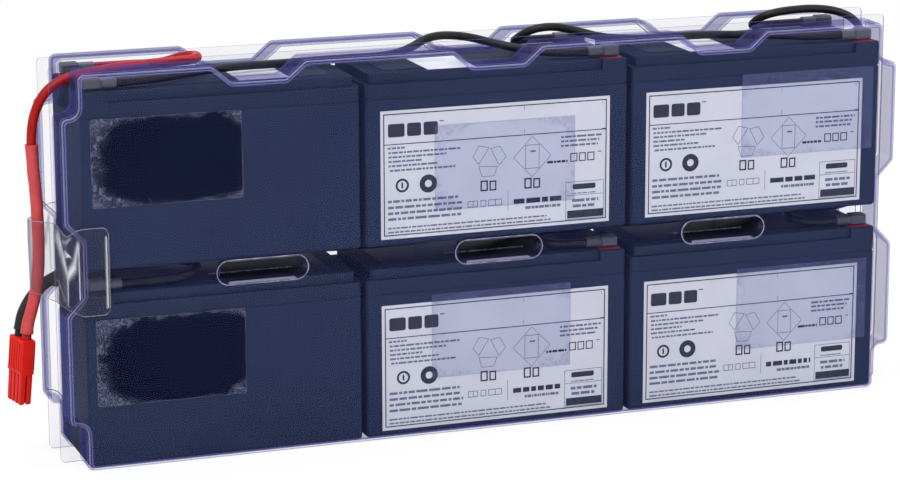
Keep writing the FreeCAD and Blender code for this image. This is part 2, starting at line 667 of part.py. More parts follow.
def lead_routes():
    """The two leads, from their batteries out between the trays to the plug."""
    red = wire_end("left", "upper", False)
    black = wire_end("left", "lower", True)
    return {
        "red": [red, leaving(red)] + over("upper", COLUMN_LEFT["left"], [
            (45.2, 23.2, 0.2), (52.7, 17.6, 0.9), (58.6, 11.2, 3.1), (64.8, 8, 5.7), (70.8, 2.8, 6.9),
            (70.8, -4.8, 7.1), (65.2, -9.9, 6.8), (55.7, -9.9, 6.5), (43.2, -7.8, 5.7),
            (29.2, -5, 4.5), (14.2, -3, 2.6), (1.2, -2.2, 0.4), (-9.8, -2, -5), (-16.5, -2, -15.2),
            (-19.3, -2, -28.4), (-18.9, -2, -43.9)
        ]) + over("lower", COLUMN_LEFT["left"], [
            (-17.5, -2, 43.6), (-17, -2, 22.6), (-17.8, -1.8, 2.6), (-20.4, -2, -13.4),
            (-24.57, -3.11, -24.4)
        ]) + [plug_entry(1)],
        "black": [black, leaving(black)] + over("lower", COLUMN_LEFT["left"], [
            (48.2, -25, 0.4), (58.2, -22.6, 1.2), (64.6, -16.6, 2), (66.9, -8.6, 2.6), (64.4, -0.8, 3),
            (57.7, 4.2, 3.2), (48.2, 6.3, 3.2), (35.2, 6.2, 3.1), (19.2, 5.6, 2.9), (3.2, 6, 2.4),
            (-11.8, 6.5, -2.9), (-21.8, 6, -11.9), (-29.43, 3.11, -23.4)
        ]) + [plug_entry(-1)],
    }


def last_stretch(edges, length):
    """The last stretch of a path, of the given length."""
    kept = []
    for edge in reversed(edges):
        if edge.Length >= length:
            start = edge.getParameterByLength(edge.Length - length)
            return [edge.Curve.toShape(start, edge.LastParameter)] + kept
        kept.insert(0, edge)
        length -= edge.Length
    return kept


def sleeve(edges):
    """Loose sleeve round a stretch of a lead."""
    return swept(edges, SLEEVE_D).cut(swept(edges, LEAD_D + 2 * SLEEVE_CLEARANCE))


# --------------------------------------------------------------------- tape

def strip(points, thickness, bend, z):
    """Closed wire of a band of even thickness that follows (x, y) points."""
    sides = ([], [])
    last = len(points) - 1
    for i, (x, y) in enumerate(points):
        here = V(x, y, 0)
        along = []
        if i > 0:
            along.append((here - V(points[i - 1][0], points[i - 1][1], 0)).normalize())
        if i < last:
            along.append((V(points[i + 1][0], points[i + 1][1], 0) - here).normalize())
        normals = [V(-d.y, d.x, 0) for d in along]
        mean = normals[0] + normals[-1]
        mean.normalize()
        mitre = mean * (thickness / 2 / mean.dot(normals[0]))
        turn = along[0].cross(along[-1]).z
        for side, sign in ((0, 1), (1, -1)):
            point = here + mitre * sign
            radius = 0
            if 0 < i < last:
                radius = bend - thickness / 2 if turn * sign > 0 else bend + thickness / 2
            sides[side].append((point.x, point.y, radius))
    return rounded_polygon(sides[0] + sides[1][::-1], lambda a, b: V(a, b, z))


def tape():
    """Clear film from the front panel, round the leads, to the rear panel."""
    skin = TAPE_CLEARANCE + TAPE / 2
    end = -PACK_HALF + TAPE_END
    corner = -WIDE - skin + 1
    rim = -FLANGE_HALF - skin
    bulge = -PACK_HALF - TAPE_BULGE
    half = [
        (end, PANEL - skin),
        (corner, PANEL - skin),
        (rim, RIM - 2 * SHEET),
        (bulge, -TAPE_HALF_BULGE),
    ]
    route = half + [(x, -y) for x, y in reversed(half)]
    film = Part.Face(strip(route, TAPE, TAPE_BEND, TAPE_BASE)).extrude(V(0, 0, TAPE_HEIGHT))
    y = PANEL - 1
    below = [
        V(end, y, TAPE_BASE),
        V(-NARROW, y, TAPE_BASE),
        V(bulge, y, TAPE_BASE + TAPE_RISE),
        V(bulge - 1, y, TAPE_BASE + TAPE_RISE),
        V(bulge - 1, y, TAPE_BASE - 1),
        V(end, y, TAPE_BASE - 1),
        V(end, y, TAPE_BASE),
    ]
    return film.cut(Part.Face(Part.makePolygon(below)).extrude(V(0, -2 * y, 0)))


def save(name, shape):
    if not shape.isValid():
        raise ValueError(name + " isn't valid")
    shape.exportStep("parts/" + name + ".step")


def together(shapes):
    return Part.makeCompound(shapes) if len(shapes) > 1 else shapes[0]


def main():
    os.makedirs("parts", exist_ok=True)
    tray = front_tray()
    save("front_tray", tray)
    save("rear_tray", to_rear(tray))
    case = battery_case()
    lid = battery_lid()
    cover = vent_cover()
    front_tab = terminal_tab(True)
    rear_tab = terminal_tab(False)
    for row in ROW_BASE:
        for column in COLUMN_LEFT:
            name = row + "_" + column
            save("case_" + name, placed(case, column, row))
            save("lid_" + name, placed(lid, column, row))
            save("cover_" + name, placed(cover, column, row))
            save("tabs_" + name, together([placed(front_tab, column, row), placed(rear_tab, column, row)]))
    places = [(column, row) for row in ROW_BASE for column in COLUMN_LEFT]
    plus = seat_box(True, SEAT_RECESS, SEAT_RISE)
    minus = seat_box(False, SEAT_RECESS, SEAT_RISE)
    save("seats_plus", together([placed(plus, *p) for p in places]))
    save("seats_minus", together([placed(minus, *p) for p in places]))
    sockets = [placed(receptacle(front), *p) for p in places for front in (True, False)]
    save("receptacles", together(sockets))
    for column, row in places:
        if column != "left":
            save("label_%s_%s" % (row, column), label(column, row))
        save("pad_%s_%s" % (row, column), front_pad(column, row))
    save("pads_rear", together([rear_pad(*p) for p in places]))
    save("stickers_top", together([top_sticker(column) for column in COLUMN_LEFT]))
    for name, route in jumper_routes().items():
        edges, radii = route_edges(route)
        print(name, "radii", [round(r, 1) for r in radii])
        save(name, swept(edges, JUMPER_D))
    for name, route in lead_routes().items():
        edges, radii = route_edges(route)
        print(name, "lead radii", [round(r, 1) for r in radii])
        save(name + "_lead", swept(edges, LEAD_D))
        save(name + "_sleeve", sleeve(last_stretch(edges[:-1], SLEEVE_LENGTH[name])))
    pole = plug_pole()
    save("plug_red", plug_place(pole, 1))
    save("plug_black", plug_place(pole, -1))
    save("plug_contacts", together([plug_place(plug_contact(), side) for side in (1, -1)]))
    save("tape", tape())


main()
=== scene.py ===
import json
import math

import bpy
import bmesh
from mathutils import Euler, Matrix, Vector, noise


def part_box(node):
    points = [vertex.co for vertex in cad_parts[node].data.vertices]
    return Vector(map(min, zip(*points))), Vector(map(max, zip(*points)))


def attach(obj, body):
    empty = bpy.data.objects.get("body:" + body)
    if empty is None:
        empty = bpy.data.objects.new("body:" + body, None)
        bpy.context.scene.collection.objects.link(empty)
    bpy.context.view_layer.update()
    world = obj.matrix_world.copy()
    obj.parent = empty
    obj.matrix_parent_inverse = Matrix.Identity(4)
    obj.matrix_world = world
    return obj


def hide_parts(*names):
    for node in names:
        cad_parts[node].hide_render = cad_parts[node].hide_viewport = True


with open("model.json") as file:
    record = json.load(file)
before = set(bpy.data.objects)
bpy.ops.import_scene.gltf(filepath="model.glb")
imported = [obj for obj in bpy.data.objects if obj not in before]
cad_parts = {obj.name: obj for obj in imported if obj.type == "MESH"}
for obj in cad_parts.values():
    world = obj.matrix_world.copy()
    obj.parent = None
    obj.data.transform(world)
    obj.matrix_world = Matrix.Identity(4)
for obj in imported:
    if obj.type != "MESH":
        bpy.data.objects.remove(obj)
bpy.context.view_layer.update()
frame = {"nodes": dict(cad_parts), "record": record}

# Looks of the battery cartridge, in metres, in the frame of its CAD model:
# X along the rows of batteries, Y from front to back, Z up.
nodes = frame["nodes"]
scene = bpy.context.scene
noise.seed_set(1)               # noise_vector follows it

COLUMNS = ("left", "middle", "right")
ROWS = ("upper", "lower")
PLACES = [(row, column) for row in ROWS for column in COLUMNS]

# The finger slots lie in the gap between the two rows.
GAP_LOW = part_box("lid_lower_middle")[1].z
GAP_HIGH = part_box("case_upper_middle")[0].z
SHEET = 0.0010                  # thickness of the trays' clear sheet
SLOT_PITCH = 0.1335
SLOT_LENGTH = 0.046
SLOT_FLARE = 0.002              # widening at the panel, at each end
SLOT_Z = (GAP_LOW + GAP_HIGH) / 2
SLOT_HALF = (GAP_HIGH - GAP_LOW) / 2
SHELF_BACK = -0.0102            # back edge of the clear shelf in a slot
BEAD = 0.0005                   # width of the bead round a slot's mouth


# ---- materials

class Shader:
    """Node tree of a material or world. An input is a number, a colour or another node's socket."""

    def __init__(self, name, library=bpy.data.materials):
        self.owner = library.new(name)
        self.owner.use_nodes = True
        self.nodes = self.owner.node_tree.nodes
        self.links = self.owner.node_tree.links
        self.nodes.clear()

    def add(self, kind, inputs=(), **settings):
        made = self.nodes.new("ShaderNode" + kind)
        for key, value in settings.items():
            setattr(made, key, value)
        for key, value in dict(inputs).items():
            if isinstance(value, bpy.types.NodeSocket):
                self.links.new(value, made.inputs[key])
            else:
                made.inputs[key].default_value = value
        return made

    def place(self, stretch=(1, 1, 1)):
        """Position on the part, in metres, stretched along its axes."""
        where = self.add("TexCoord").outputs["Object"]
        return self.add("Mapping", {"Vector": where, "Scale": stretch}).outputs["Vector"]

    def noise(self, scale, detail=3.0, rough=0.5, stretch=(1, 1, 1), warp=0.0):
        return self.add("TexNoise", {
            "Vector": self.place(stretch), "Scale": scale, "Detail": detail, "Roughness": rough,
            "Distortion": warp,
        }).outputs["Fac"]

    def spread(self, value, low=0.0, high=1.0, from_low=0.3, from_high=0.7):
        """Maps a value from one range to another."""
        return self.add("MapRange", {
            "Value": value, "From Min": from_low, "From Max": from_high, "To Min": low, "To Max": high,
        }).outputs["Result"]

    def band(self, value, limits):
        """1 between the two middle limits, falling to 0 at the outer ones."""
        rise = self.spread(value, 0.0, 1.0, limits[0], limits[1])
        fall = self.spread(value, 1.0, 0.0, limits[2], limits[3])
        return self.calc("MULTIPLY", rise, fall)

    def absolute(self, value):
        return self.calc("ABSOLUTE", value)

    def axes(self, vector):
        """X, Y and Z of a vector."""
        return self.add("SeparateXYZ", {0: vector}).outputs

    def blend(self, factor, first, second):
        """Mix of two colours."""
        ends = [end if isinstance(end, bpy.types.NodeSocket) else (*end, 1.0) for end in (first, second)]
        return self.add("Mix", {0: factor, 6: ends[0], 7: ends[1]}, data_type="RGBA").outputs[2]

    def calc(self, operation, first, second=0.0):
        return self.add("Math", {0: first, 1: second}, operation=operation).outputs[0]

    def bump(self, height, depth, normal=None):
        """Relief of the given depth in metres."""
        inputs = {"Height": height, "Strength": 1.0, "Distance": depth}
        if normal is not None:
            inputs["Normal"] = normal
        return self.add("Bump", inputs).outputs["Normal"]

    def surface(self, shader, output="OutputMaterial"):
        self.add(output, {"Surface": shader})
        return self.owner

    def principled(self, colour, roughness, normal=None, **sockets):
        inputs = {"Base Color": colour, "Roughness": roughness}
        inputs.update({key.replace("_", " "): value for key, value in sockets.items()})
        if normal is not None:
            inputs["Normal"] = normal
        return self.surface(self.add("BsdfPrincipled", inputs).outputs["BSDF"])


def moulded(name, dark, light, roughness, shine, sink=0.0):
    """Moulded plastic: cloudy colour, uneven gloss and slow sink marks.

    shine is how much it mirrors seen square on and at a grazing angle.
    """
    s = Shader(name)
    cloud = s.noise(24, 4)
    colour = s.blend(s.spread(cloud), dark, light)
    rough = s.spread(cloud, roughness[0], roughness[1])
    relief = s.bump(s.noise(600, 2), 0.000002)
    if sink:
        relief = s.bump(s.noise(14, 2, stretch=(1, 1, 1.6)), sink, relief)
    body = s.add("BsdfPrincipled", {
        "Base Color": colour, "Roughness": rough, "Specular IOR Level": 0.0, "Normal": relief,
    }).outputs["BSDF"]
    mirror = s.add("BsdfGlossy", {"Color": (0.9, 0.93, 1.0, 1.0), "Roughness": rough, "Normal": relief})
    edge = s.add("LayerWeight", {"Blend": 0.5, "Normal": relief}).outputs["Facing"]
    share = s.spread(edge, shine[0], shine[1], 0.2, 0.95)
    mixed = s.add("MixShader", {0: share, 1: body, 2: mirror.outputs["BSDF"]})
    return s.surface(mixed.outputs["Shader"])


def tin(name):
    """Tin plate with faint drawn streaks."""
    s = Shader(name)
    streaks = s.noise(900, 3, stretch=(1, 1, 0.15))
    colour = s.blend(streaks, (0.62, 0.61, 0.58), (0.78, 0.77, 0.75))
    return s.principled(colour, s.spread(streaks, 0.25, 0.42), s.bump(streaks, 0.00001), Metallic=1.0)


def paper(name, dark, light):
    """Coated paper with a faint cloud and fibre relief."""
    s = Shader(name)
    cloud = s.noise(35, 4)
    colour = s.blend(s.spread(cloud), dark, light)
    return s.principled(colour, s.spread(cloud, 0.40, 0.52), s.bump(s.noise(1200, 2), 0.000004),
                        Specular_IOR_Level=0.3)


def ink(name, dark, light):
    """Flat print with an uneven cover."""
    s = Shader(name)
    cloud = s.noise(500, 3)
    colour = s.blend(cloud, dark, light)
    return s.principled(colour, s.spread(cloud, 0.4, 0.55), s.bump(cloud, 0.000003), Specular_IOR_Level=0.2)


def rubber(name, dark, light, roughness, marks=0.00002):
    """Wire insulation with faint flow marks."""
    s = Shader(name)
    cloud = s.noise(160, 4)
    colour = s.blend(s.spread(cloud), dark, light)
    return s.principled(colour, s.spread(cloud, roughness[0], roughness[1]), s.bump(s.noise(500, 2), marks),
                        Specular_IOR_Level=0.16)


# Where the painted fold lines go, by how far its surface faces the front or the back, from 0 to 1.
FOLD_AT_PANEL = (0.935, 0.955, 0.985, 0.995)
FOLD_AT_WALL = (0.16, 0.20, 0.30, 0.38)
# FOLD_GLINT is where a painted highlight goes, where the fold would catch the light
FOLD_GLINT = (0.62, 0.70, 0.74, 0.82)
RIM_FACE = (0.01412, 0.01418)   # distance of a flange's cut face from the middle plane
# GRAZING_SHADE is painted shade: a diffuse share of the crease colour by viewing angle
GRAZING_SHADE = 0.10            # share of the crease's colour at a grazing angle


def painted_fold_lines(s, painted_light_share, tone, pale):
    """Painted shade and highlight lines in the folds and cut edges of a tray, and a painted pale highlight
    on the lips of its slots.
    """
    turn = s.absolute(s.axes(s.add("TexCoord").outputs["Normal"])["Y"])
    place = s.axes(s.place())
    # painted fold lines at both ends of each round and on the flanges' cut faces, standing in for the folds'
    # edge-on shade and reflections
    far = s.band(turn, FOLD_AT_WALL)
    cut = s.calc("MULTIPLY", s.spread(turn, 1.0, 0.0, 0.2, 0.5),
                 s.spread(s.absolute(place["Y"]), 1.0, 0.0, *RIM_FACE))
    painted_line_mask = s.calc("MAXIMUM", s.calc("MAXIMUM", s.band(turn, FOLD_AT_PANEL), far), cut)
    painted_light_share = s.calc("MAXIMUM", painted_light_share, s.calc("MULTIPLY", painted_line_mask, 0.62))
    # painted highlight in the pale colour, where a fold's round turns towards the lamps
    glint = s.band(turn, FOLD_GLINT)
    painted_light_share = s.calc("MAXIMUM", painted_light_share, s.calc("MULTIPLY", glint, 0.42))
    tone = s.blend(glint, tone, pale)
    # painted pale highlight on the flared lips of the finger slots
    height = s.absolute(s.calc("SUBTRACT", place["Z"], SLOT_Z))
    lip = s.calc("MULTIPLY", far, s.spread(height, 1.0, 0.0, SLOT_HALF + 0.0006, SLOT_HALF + 0.0010))
    return painted_light_share, s.blend(lip, tone, (0.42, 0.40, 0.52))


def painted_film_lines(s, painted_light_share, tone, pale):
    """Painted shade along a film's cut edges and painted highlights on its crinkles, which its mesh marks.
    """
    white = s.add("Attribute", attribute_name="painted_crinkle_highlight").outputs["Fac"]
    cut = s.add("Attribute", attribute_name="cut").outputs["Fac"]
    painted_light_share = s.calc("MAXIMUM", painted_light_share, s.calc("MULTIPLY", cut, 0.55))
    painted_light_share = s.calc("MAXIMUM", painted_light_share, s.calc("MULTIPLY", white, 0.88))
    return painted_light_share, s.blend(white, tone, pale)


def clear_sheet(name, facing, grazing, gloss, roughness, waves, wave_scale, crease, pale, marks):
    """Thin clear plastic: tinted more at a grazing angle, with its own reflections.

    crease is the painted shade colour that the sheet shows at a grazing angle and where marks
    paints its fold and edge lines; pale is the colour of the painted highlights on its folds and crinkles.
    """
    s = Shader(name)
    cloud = s.noise(wave_scale, 3, stretch=(1, 1, 0.45), warp=0.4)
    relief = s.bump(cloud, waves)
    edge = s.spread(s.add("LayerWeight", {"Blend": 0.5}).outputs["Facing"], 0.0, 1.0, 0.2, 1.0)
    clean = s.blend(s.spread(cloud), facing, [0.99 * c for c in facing])
    through = s.add("BsdfTransparent", {"Color": s.blend(edge, clean, grazing)}).outputs["BSDF"]
    shine = s.spread(cloud, roughness[0], roughness[1])
    mirror = s.add("BsdfGlossy", {"Color": (*gloss, 1.0), "Roughness": shine, "Normal": relief})
    share = s.calc("MINIMUM", s.add("Fresnel", {"IOR": 1.45, "Normal": relief}).outputs["Fac"], 0.2)
    body = s.add("MixShader", {0: share, 1: through, 2: mirror.outputs["BSDF"]}).outputs["Shader"]
    # A diffuse colour is mixed in at a grazing angle and along the painted lines: painted shade and painted
    # highlights.
    tone = s.blend(s.spread(cloud), crease, [1.15 * c for c in crease])
    painted_light_share, tone = marks(s, s.calc("MULTIPLY", edge, GRAZING_SHADE), tone, pale)
    solid = s.add("BsdfDiffuse", {"Color": tone}).outputs["BSDF"]
    return s.surface(s.add("MixShader", {0: painted_light_share, 1: body, 2: solid}).outputs["Shader"])


def pad_gel(name, wet, haze, middle, strength):
    """Double-sided pad: see-through where it has wetted the plastic, and mottled elsewhere.

    middle is the middle of the wetted patch, as a share of the pad's width and height.
    """
    s = Shader(name)
    across = s.axes(s.add("TexCoord").outputs["Generated"])
    blotches = s.noise(260, 3, 0.7, warp=1.5)
    swirls = s.noise(110, 4, 0.65, warp=2.0)
    slow = s.noise(60, 6, 0.7)
    off = [s.calc("SUBTRACT", across[axis], centre) for axis, centre in zip("XZ", middle)]
    powers = [s.calc("POWER", s.absolute(s.calc("MULTIPLY", part, 2.0)), 3.2) for part in off]
    reach = s.calc("ADD", s.calc("ADD", *powers), s.spread(slow, -0.38, 0.38))
    ridge = s.spread(s.absolute(s.calc("SUBTRACT", swirls, 0.5)), 1.0, 0.0, 0.004, 0.040)
    grain = s.calc("MAXIMUM", s.spread(blotches, 0.0, 0.8, 0.50, 0.60), ridge)
    flecks = s.calc("MULTIPLY", s.spread(reach, 0.0, 1.0, 0.78, 1.15), grain)
    dry = s.calc("MULTIPLY", s.spread(reach, 0.0, 1.0, 0.92, 1.60), 0.30)
    dry = s.calc("MAXIMUM", dry, s.calc("MULTIPLY", flecks, 0.62))
    sides = [s.absolute(s.calc("SUBTRACT", across[axis], 0.5)) for axis in "XZ"]
    border = s.calc("MAXIMUM", s.spread(sides[0], 0.0, 0.4, 0.4925, 0.4960),
                    s.spread(sides[1], 0.0, 0.4, 0.488, 0.494))
    dry = s.calc("MAXIMUM", dry, border)
    through = s.add("BsdfTransparent", {"Color": (*wet, 1.0)}).outputs["BSDF"]
    tone = s.blend(s.spread(blotches), [0.45 * c for c in haze], haze)
    clouded = s.add("BsdfPrincipled", {
        "Base Color": tone, "Roughness": s.spread(blotches, 0.35, 0.55), "Specular IOR Level": 0.2,
        "Normal": s.bump(blotches, 0.00005),
    }).outputs["BSDF"]
    mixed = s.add("MixShader", {0: s.calc("MULTIPLY", dry, strength), 1: through, 2: clouded})
    return s.surface(mixed.outputs["Shader"])


def lip_painted_highlight():
    """Rim of clear plastic with a painted highlight: a pale lavender colour over part of it."""
    s = Shader("slot_lip_painted_highlight")
    cloud = s.noise(220, 4)
    colour = s.blend(s.spread(cloud), (0.22, 0.21, 0.34), (0.40, 0.39, 0.52))
    rim = s.add("BsdfPrincipled", {
        "Base Color": colour, "Roughness": s.spread(cloud, 0.2, 0.4), "Normal": s.bump(cloud, 0.00003),
    }).outputs["BSDF"]
    through = s.add("BsdfTransparent", {"Color": (0.95, 0.95, 0.99, 1.0)}).outputs["BSDF"]
    share = s.spread(cloud, 0.30, 0.55)
    return s.surface(s.add("MixShader", {0: share, 1: through, 2: rim}).outputs["Shader"])


FINISHES = {
    # For the clear sheets, the crease colour is painted shade, the pale colour painted highlight, and the
    # last entry places the painted lines.
    "clear_tray": (clear_sheet, (0.984, 0.983, 0.990), (0.73, 0.715, 0.85), (0.07, 0.085, 0.27),
                   (0.04, 0.09), 0.00020, 30, (0.125, 0.112, 0.335), (0.47875, 0.4664, 0.67825), painted_fold_lines),
    "clear_film": (clear_sheet, (0.975, 0.975, 0.980), (0.82, 0.82, 0.86), (0.18, 0.19, 0.24),
                   (0.08, 0.16), 0.0004, 60, (0.28, 0.28, 0.32), (0.80, 0.80, 0.82), painted_film_lines),
    "battery_case": (moulded, (0.0130, 0.0220, 0.048), (0.0170, 0.0270, 0.058), (0.42, 0.52),
                     (0.010, 0.045), 0.0001),
    "battery_lid": (moulded, (0.0120, 0.0205, 0.042), (0.0155, 0.0250, 0.051), (0.32, 0.42),
                    (0.010, 0.022), 0.0001),
    "vent_cover": (moulded, (0.0110, 0.0180, 0.034), (0.0145, 0.0225, 0.042), (0.35, 0.46), (0.012, 0.065)),
    "terminal_metal": (tin,),
    "seat_red": (moulded, (0.24, 0.006, 0.012), (0.32, 0.010, 0.018), (0.3, 0.42), (0.03, 0.12)),
    "seat_black": (moulded, (0.012, 0.012, 0.013), (0.020, 0.020, 0.022), (0.35, 0.5), (0.02, 0.08)),
    "receptacle_nylon": (moulded, (0.045, 0.046, 0.052), (0.080, 0.082, 0.090), (0.25, 0.38),
                         (0.03, 0.16)),
    "label_paper": (paper, (0.64, 0.655, 0.665), (0.70, 0.715, 0.725)),
    "sticker_white": (paper, (0.70, 0.71, 0.74), (0.79, 0.80, 0.83)),
    "wire_black": (rubber, (0.006, 0.006, 0.006), (0.012, 0.012, 0.011), (0.28, 0.42)),
    "wire_red": (rubber, (0.25, 0.0030, 0.0020), (0.33, 0.0055, 0.0040), (0.26, 0.38)),
    "sleeve_red": (rubber, (0.41, 0.043, 0.045), (0.49, 0.060, 0.062), (0.42, 0.55), 0.00004),
    "sleeve_black": (rubber, (0.010, 0.010, 0.010), (0.016, 0.016, 0.016), (0.4, 0.52), 0.00004),
    "plug_plastic": (moulded, (0.46, 0.0060, 0.0015), (0.56, 0.0100, 0.0030), (0.30, 0.42),
                     (0.012, 0.07)),
}
MATERIALS = {slot: make(slot, *values) for slot, (make, *values) in FINISHES.items()}
PAD_ON_CASE = pad_gel("pad_on_case", (0.54, 0.57, 0.575), (0.260, 0.285, 0.400), (0.555, 0.49), 0.95)
# The stretch of a pad that lies past its label is mottled all over: its wetted middle is far off.
PAD_OVER_CASE = pad_gel("pad_over_case", (0.74, 0.76, 0.84), (0.21, 0.235, 0.43), (-1.5, 0.5), 0.8)
PAD_ON_LABEL = pad_gel("pad_on_label", (0.953, 0.960, 0.998), (0.50, 0.52, 0.70), (0.5, 0.5), 0.22)
# The core stands for the plug's closed inside; its dark red is painted shade for the hollows between the
# prongs.
PLUG_CORE_PAINTED_SHADE = moulded("plug_core_painted_shade", (0.10, 0.0020, 0.0010), (0.14, 0.0030, 0.0015), (0.4, 0.5), (0.01, 0.04))
SLOT_LIP_HIGHLIGHT = lip_painted_highlight()
INK = ink("ink", (0.016, 0.018, 0.030), (0.040, 0.043, 0.065))
FINE_INK = ink("fine_ink", (0.10, 0.105, 0.17), (0.20, 0.21, 0.30))


def finish_cad_nodes():
    """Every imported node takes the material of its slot, and the pads, whose slot has none, a pad's."""
    for subpart in frame["record"]["subparts"]:
        piece = nodes[subpart["node"]]
        material = MATERIALS.get(subpart["material_slot"], PAD_ON_LABEL)
        piece.data.materials.clear()
        piece.data.materials.append(material)


# ---- mesh helpers

def add_piece(name, mesh, material, replaced=()):
    """Puts a mesh or curve into the scene as a piece that rides on the part."""
    piece = bpy.data.objects.new(name, mesh)
    scene.collection.objects.link(piece)
    mesh.materials.append(material)
    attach(piece, "root")
    if replaced:
        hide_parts(*replaced)
    return piece


def mesh_of(name, bm, smooth=True):
    bmesh.ops.recalc_face_normals(bm, faces=bm.faces)
    mesh = bpy.data.meshes.new(name)
    bm.to_mesh(mesh)
    bm.free()
    for polygon in mesh.polygons:
        polygon.use_smooth = smooth
    return mesh


def plate(bm, outline, y_front, y_back):
    """Flat closed plate from an outline of (x, z) points."""
    front = [bm.verts.new((x, y_front, z)) for x, z in outline]
    back = [bm.verts.new((x, y_back, z)) for x, z in outline]
    bm.faces.new(front)
    bm.faces.new(back[::-1])
    for i in range(len(outline)):
        j = (i + 1) % len(outline)
        bm.faces.new((front[i], back[i], back[j], front[j]))


def join_loops(bm, here, there):
    """Band of faces between two loops with as many points."""
    for i in range(len(here)):
        j = (i + 1) % len(here)
        bm.faces.new((here[i], here[j], there[j], there[i]))


def rounded_outline(x0, z0, x1, z1, radius, steps=5, wander=0.0, seed=0.0):
    """Rectangle with round corners; wander lets its sides stray a little."""
    points = []
    for cx, cz, start in ((x1 - radius, z1 - radius, 0), (x0 + radius, z1 - radius, 90),
                          (x0 + radius, z0 + radius, 180), (x1 - radius, z0 + radius, 270)):
        for i in range(steps + 1):
            a = math.radians(start + 90 * i / steps)
            points.append((cx + radius * math.cos(a), cz + radius * math.sin(a)))
    if not wander:
        return points
    fine = []
    for i, (x, z) in enumerate(points):
        nx, nz = points[(i + 1) % len(points)]
        length = math.hypot(nx - x, nz - z)
        pieces = max(1, int(length / 0.002))
        for k in range(pieces):
            fine.append((x + (nx - x) * k / pieces, z + (nz - z) * k / pieces))
    shifted = []
    for x, z in fine:
        push = noise.noise_vector(Vector((x * 160, z * 160, seed))) * wander
        shifted.append((x + push.x, z + push.y))
    return shifted


def path_points(curve_piece):
    """Points along a curve's own line, in order."""
    copy = curve_piece.copy()
    copy.data = curve_piece.data.copy()
    copy.data.bevel_depth = 0.0
    scene.collection.objects.link(copy)
    bpy.context.view_layer.update()
    line = bpy.data.meshes.new_from_object(copy.evaluated_get(bpy.context.evaluated_depsgraph_get()))
    points = [Vector(v.co) for v in line.vertices]
    bpy.data.objects.remove(copy)
    bpy.data.meshes.remove(line)
    return points


def trimmed(points, skip, length):
    """The stretch of a path that ends skip before its end and is length long."""
    kept = []
    walked = 0.0
    for i in range(len(points) - 1, 0, -1):
        here, there = points[i], points[i - 1]
        step = (there - here).length
        for goal in (skip, skip + length):
            if walked < goal <= walked + step:
                kept.append(here.lerp(there, (goal - walked) / step))
        walked += step
        if skip < walked < skip + length:
            kept.append(there)
    return kept[::-1]


def even(points, spacing):
    """The same path with points at an even spacing."""
    result = [points[0]]
    left = spacing
    for here, there in zip(points, points[1:]):
        step = (there - here).length
        while step >= left and step > 0:
            here = here.lerp(there, left / step)
            result.append(here)
            step = (there - here).length
            left = spacing
        left -= step
    if (result[-1] - points[-1]).length > spacing / 3:
        result.append(points[-1])
    return result


def tube(points, outer, inner, sides=28):
    """Closed thick-walled tube along a path; outer and inner give the radius from 0 to 1 along it."""
    bm = bmesh.new()
    last = len(points) - 1
    tangent = (points[1] - points[0]).normalized()
    across = tangent.orthogonal().normalized()
    skins = ([], [])
    for i, point in enumerate(points):
        tangent = (points[min(i + 1, last)] - points[max(i - 1, 0)]).normalized()
        across = (across - tangent * across.dot(tangent)).normalized()
        beside = tangent.cross(across)
        for skin, radius in zip(skins, (outer, inner)):
            loop = []
            for k in range(sides):
                a = 2 * math.pi * k / sides
                away = across * math.cos(a) + beside * math.sin(a)
                loop.append(bm.verts.new(point + away * radius(i / last, a)))
            skin.append(loop)
    outside, inside = skins
    strips = list(zip(outside, outside[1:])) + list(zip(inside, inside[1:]))
    strips += [(outside[0], inside[0]), (outside[-1], inside[-1])]
    for here, there in strips:
        join_loops(bm, here, there)
    return bm


# ---- wires

LEAD_D = 0.0052
JUMPER_D = 0.0046


def wire(name, route, diameter, slot, replaced):
    """Smooth round wire that follows a route's points."""
    curve = bpy.data.curves.new(name, "CURVE")
    curve.dimensions = "3D"
    curve.resolution_u = 10
    curve.bevel_depth = diameter / 2
    curve.bevel_resolution = 6
    curve.use_fill_caps = True
    spline = curve.splines.new("NURBS")
    spline.points.add(len(route) - 1)
    for point, place in zip(spline.points, route):
        point.co = (*place, 1.0)
    spline.order_u = 3
    spline.use_endpoint_u = True
    return add_piece(name, curve, MATERIALS[slot], replaced)


RED_ROUTE = [
    (-0.2082, 0.0245, 0.2051), (-0.1932, 0.0245, 0.2051), (-0.1840, 0.0232, 0.2053),
    (-0.1765, 0.0176, 0.2060), (-0.1706, 0.0112, 0.2082), (-0.1644, 0.0080, 0.2108),
    (-0.1584, 0.0028, 0.2120), (-0.1584, -0.0048, 0.2122), (-0.1640, -0.0099, 0.2119),
    (-0.1735, -0.0099, 0.2116), (-0.1860, -0.0078, 0.2108), (-0.2000, -0.0050, 0.2096),
    (-0.2150, -0.0030, 0.2077), (-0.2280, -0.0022, 0.2055), (-0.2390, -0.0020, 0.2001),
    (-0.2457, -0.0020, 0.1899), (-0.2485, -0.0020, 0.1767), (-0.2481, -0.0020, 0.1612),
    (-0.2467, -0.0020, 0.1420), (-0.2462, -0.0020, 0.1210), (-0.2470, -0.0018, 0.1010),
    (-0.2502, -0.0022, 0.0850), (-0.2548, -0.0036, 0.0740), (-0.2551, -0.0038, 0.0625),
]
BLACK_ROUTE = [
    (-0.2082, -0.0245, 0.0984), (-0.1932, -0.0245, 0.0984), (-0.1810, -0.0250, 0.0988),
    (-0.1710, -0.0226, 0.0996), (-0.1646, -0.0166, 0.1004), (-0.1623, -0.0086, 0.1010),
    (-0.1648, -0.0008, 0.1014), (-0.1715, 0.0042, 0.1016), (-0.1810, 0.0063, 0.1016),
    (-0.1940, 0.0062, 0.1015), (-0.2100, 0.0056, 0.1013), (-0.2260, 0.0060, 0.1008),
    (-0.2410, 0.0065, 0.0955), (-0.2505, 0.0060, 0.0865), (-0.2569, 0.0040, 0.0750),
    (-0.2573, 0.0038, 0.0625),
]
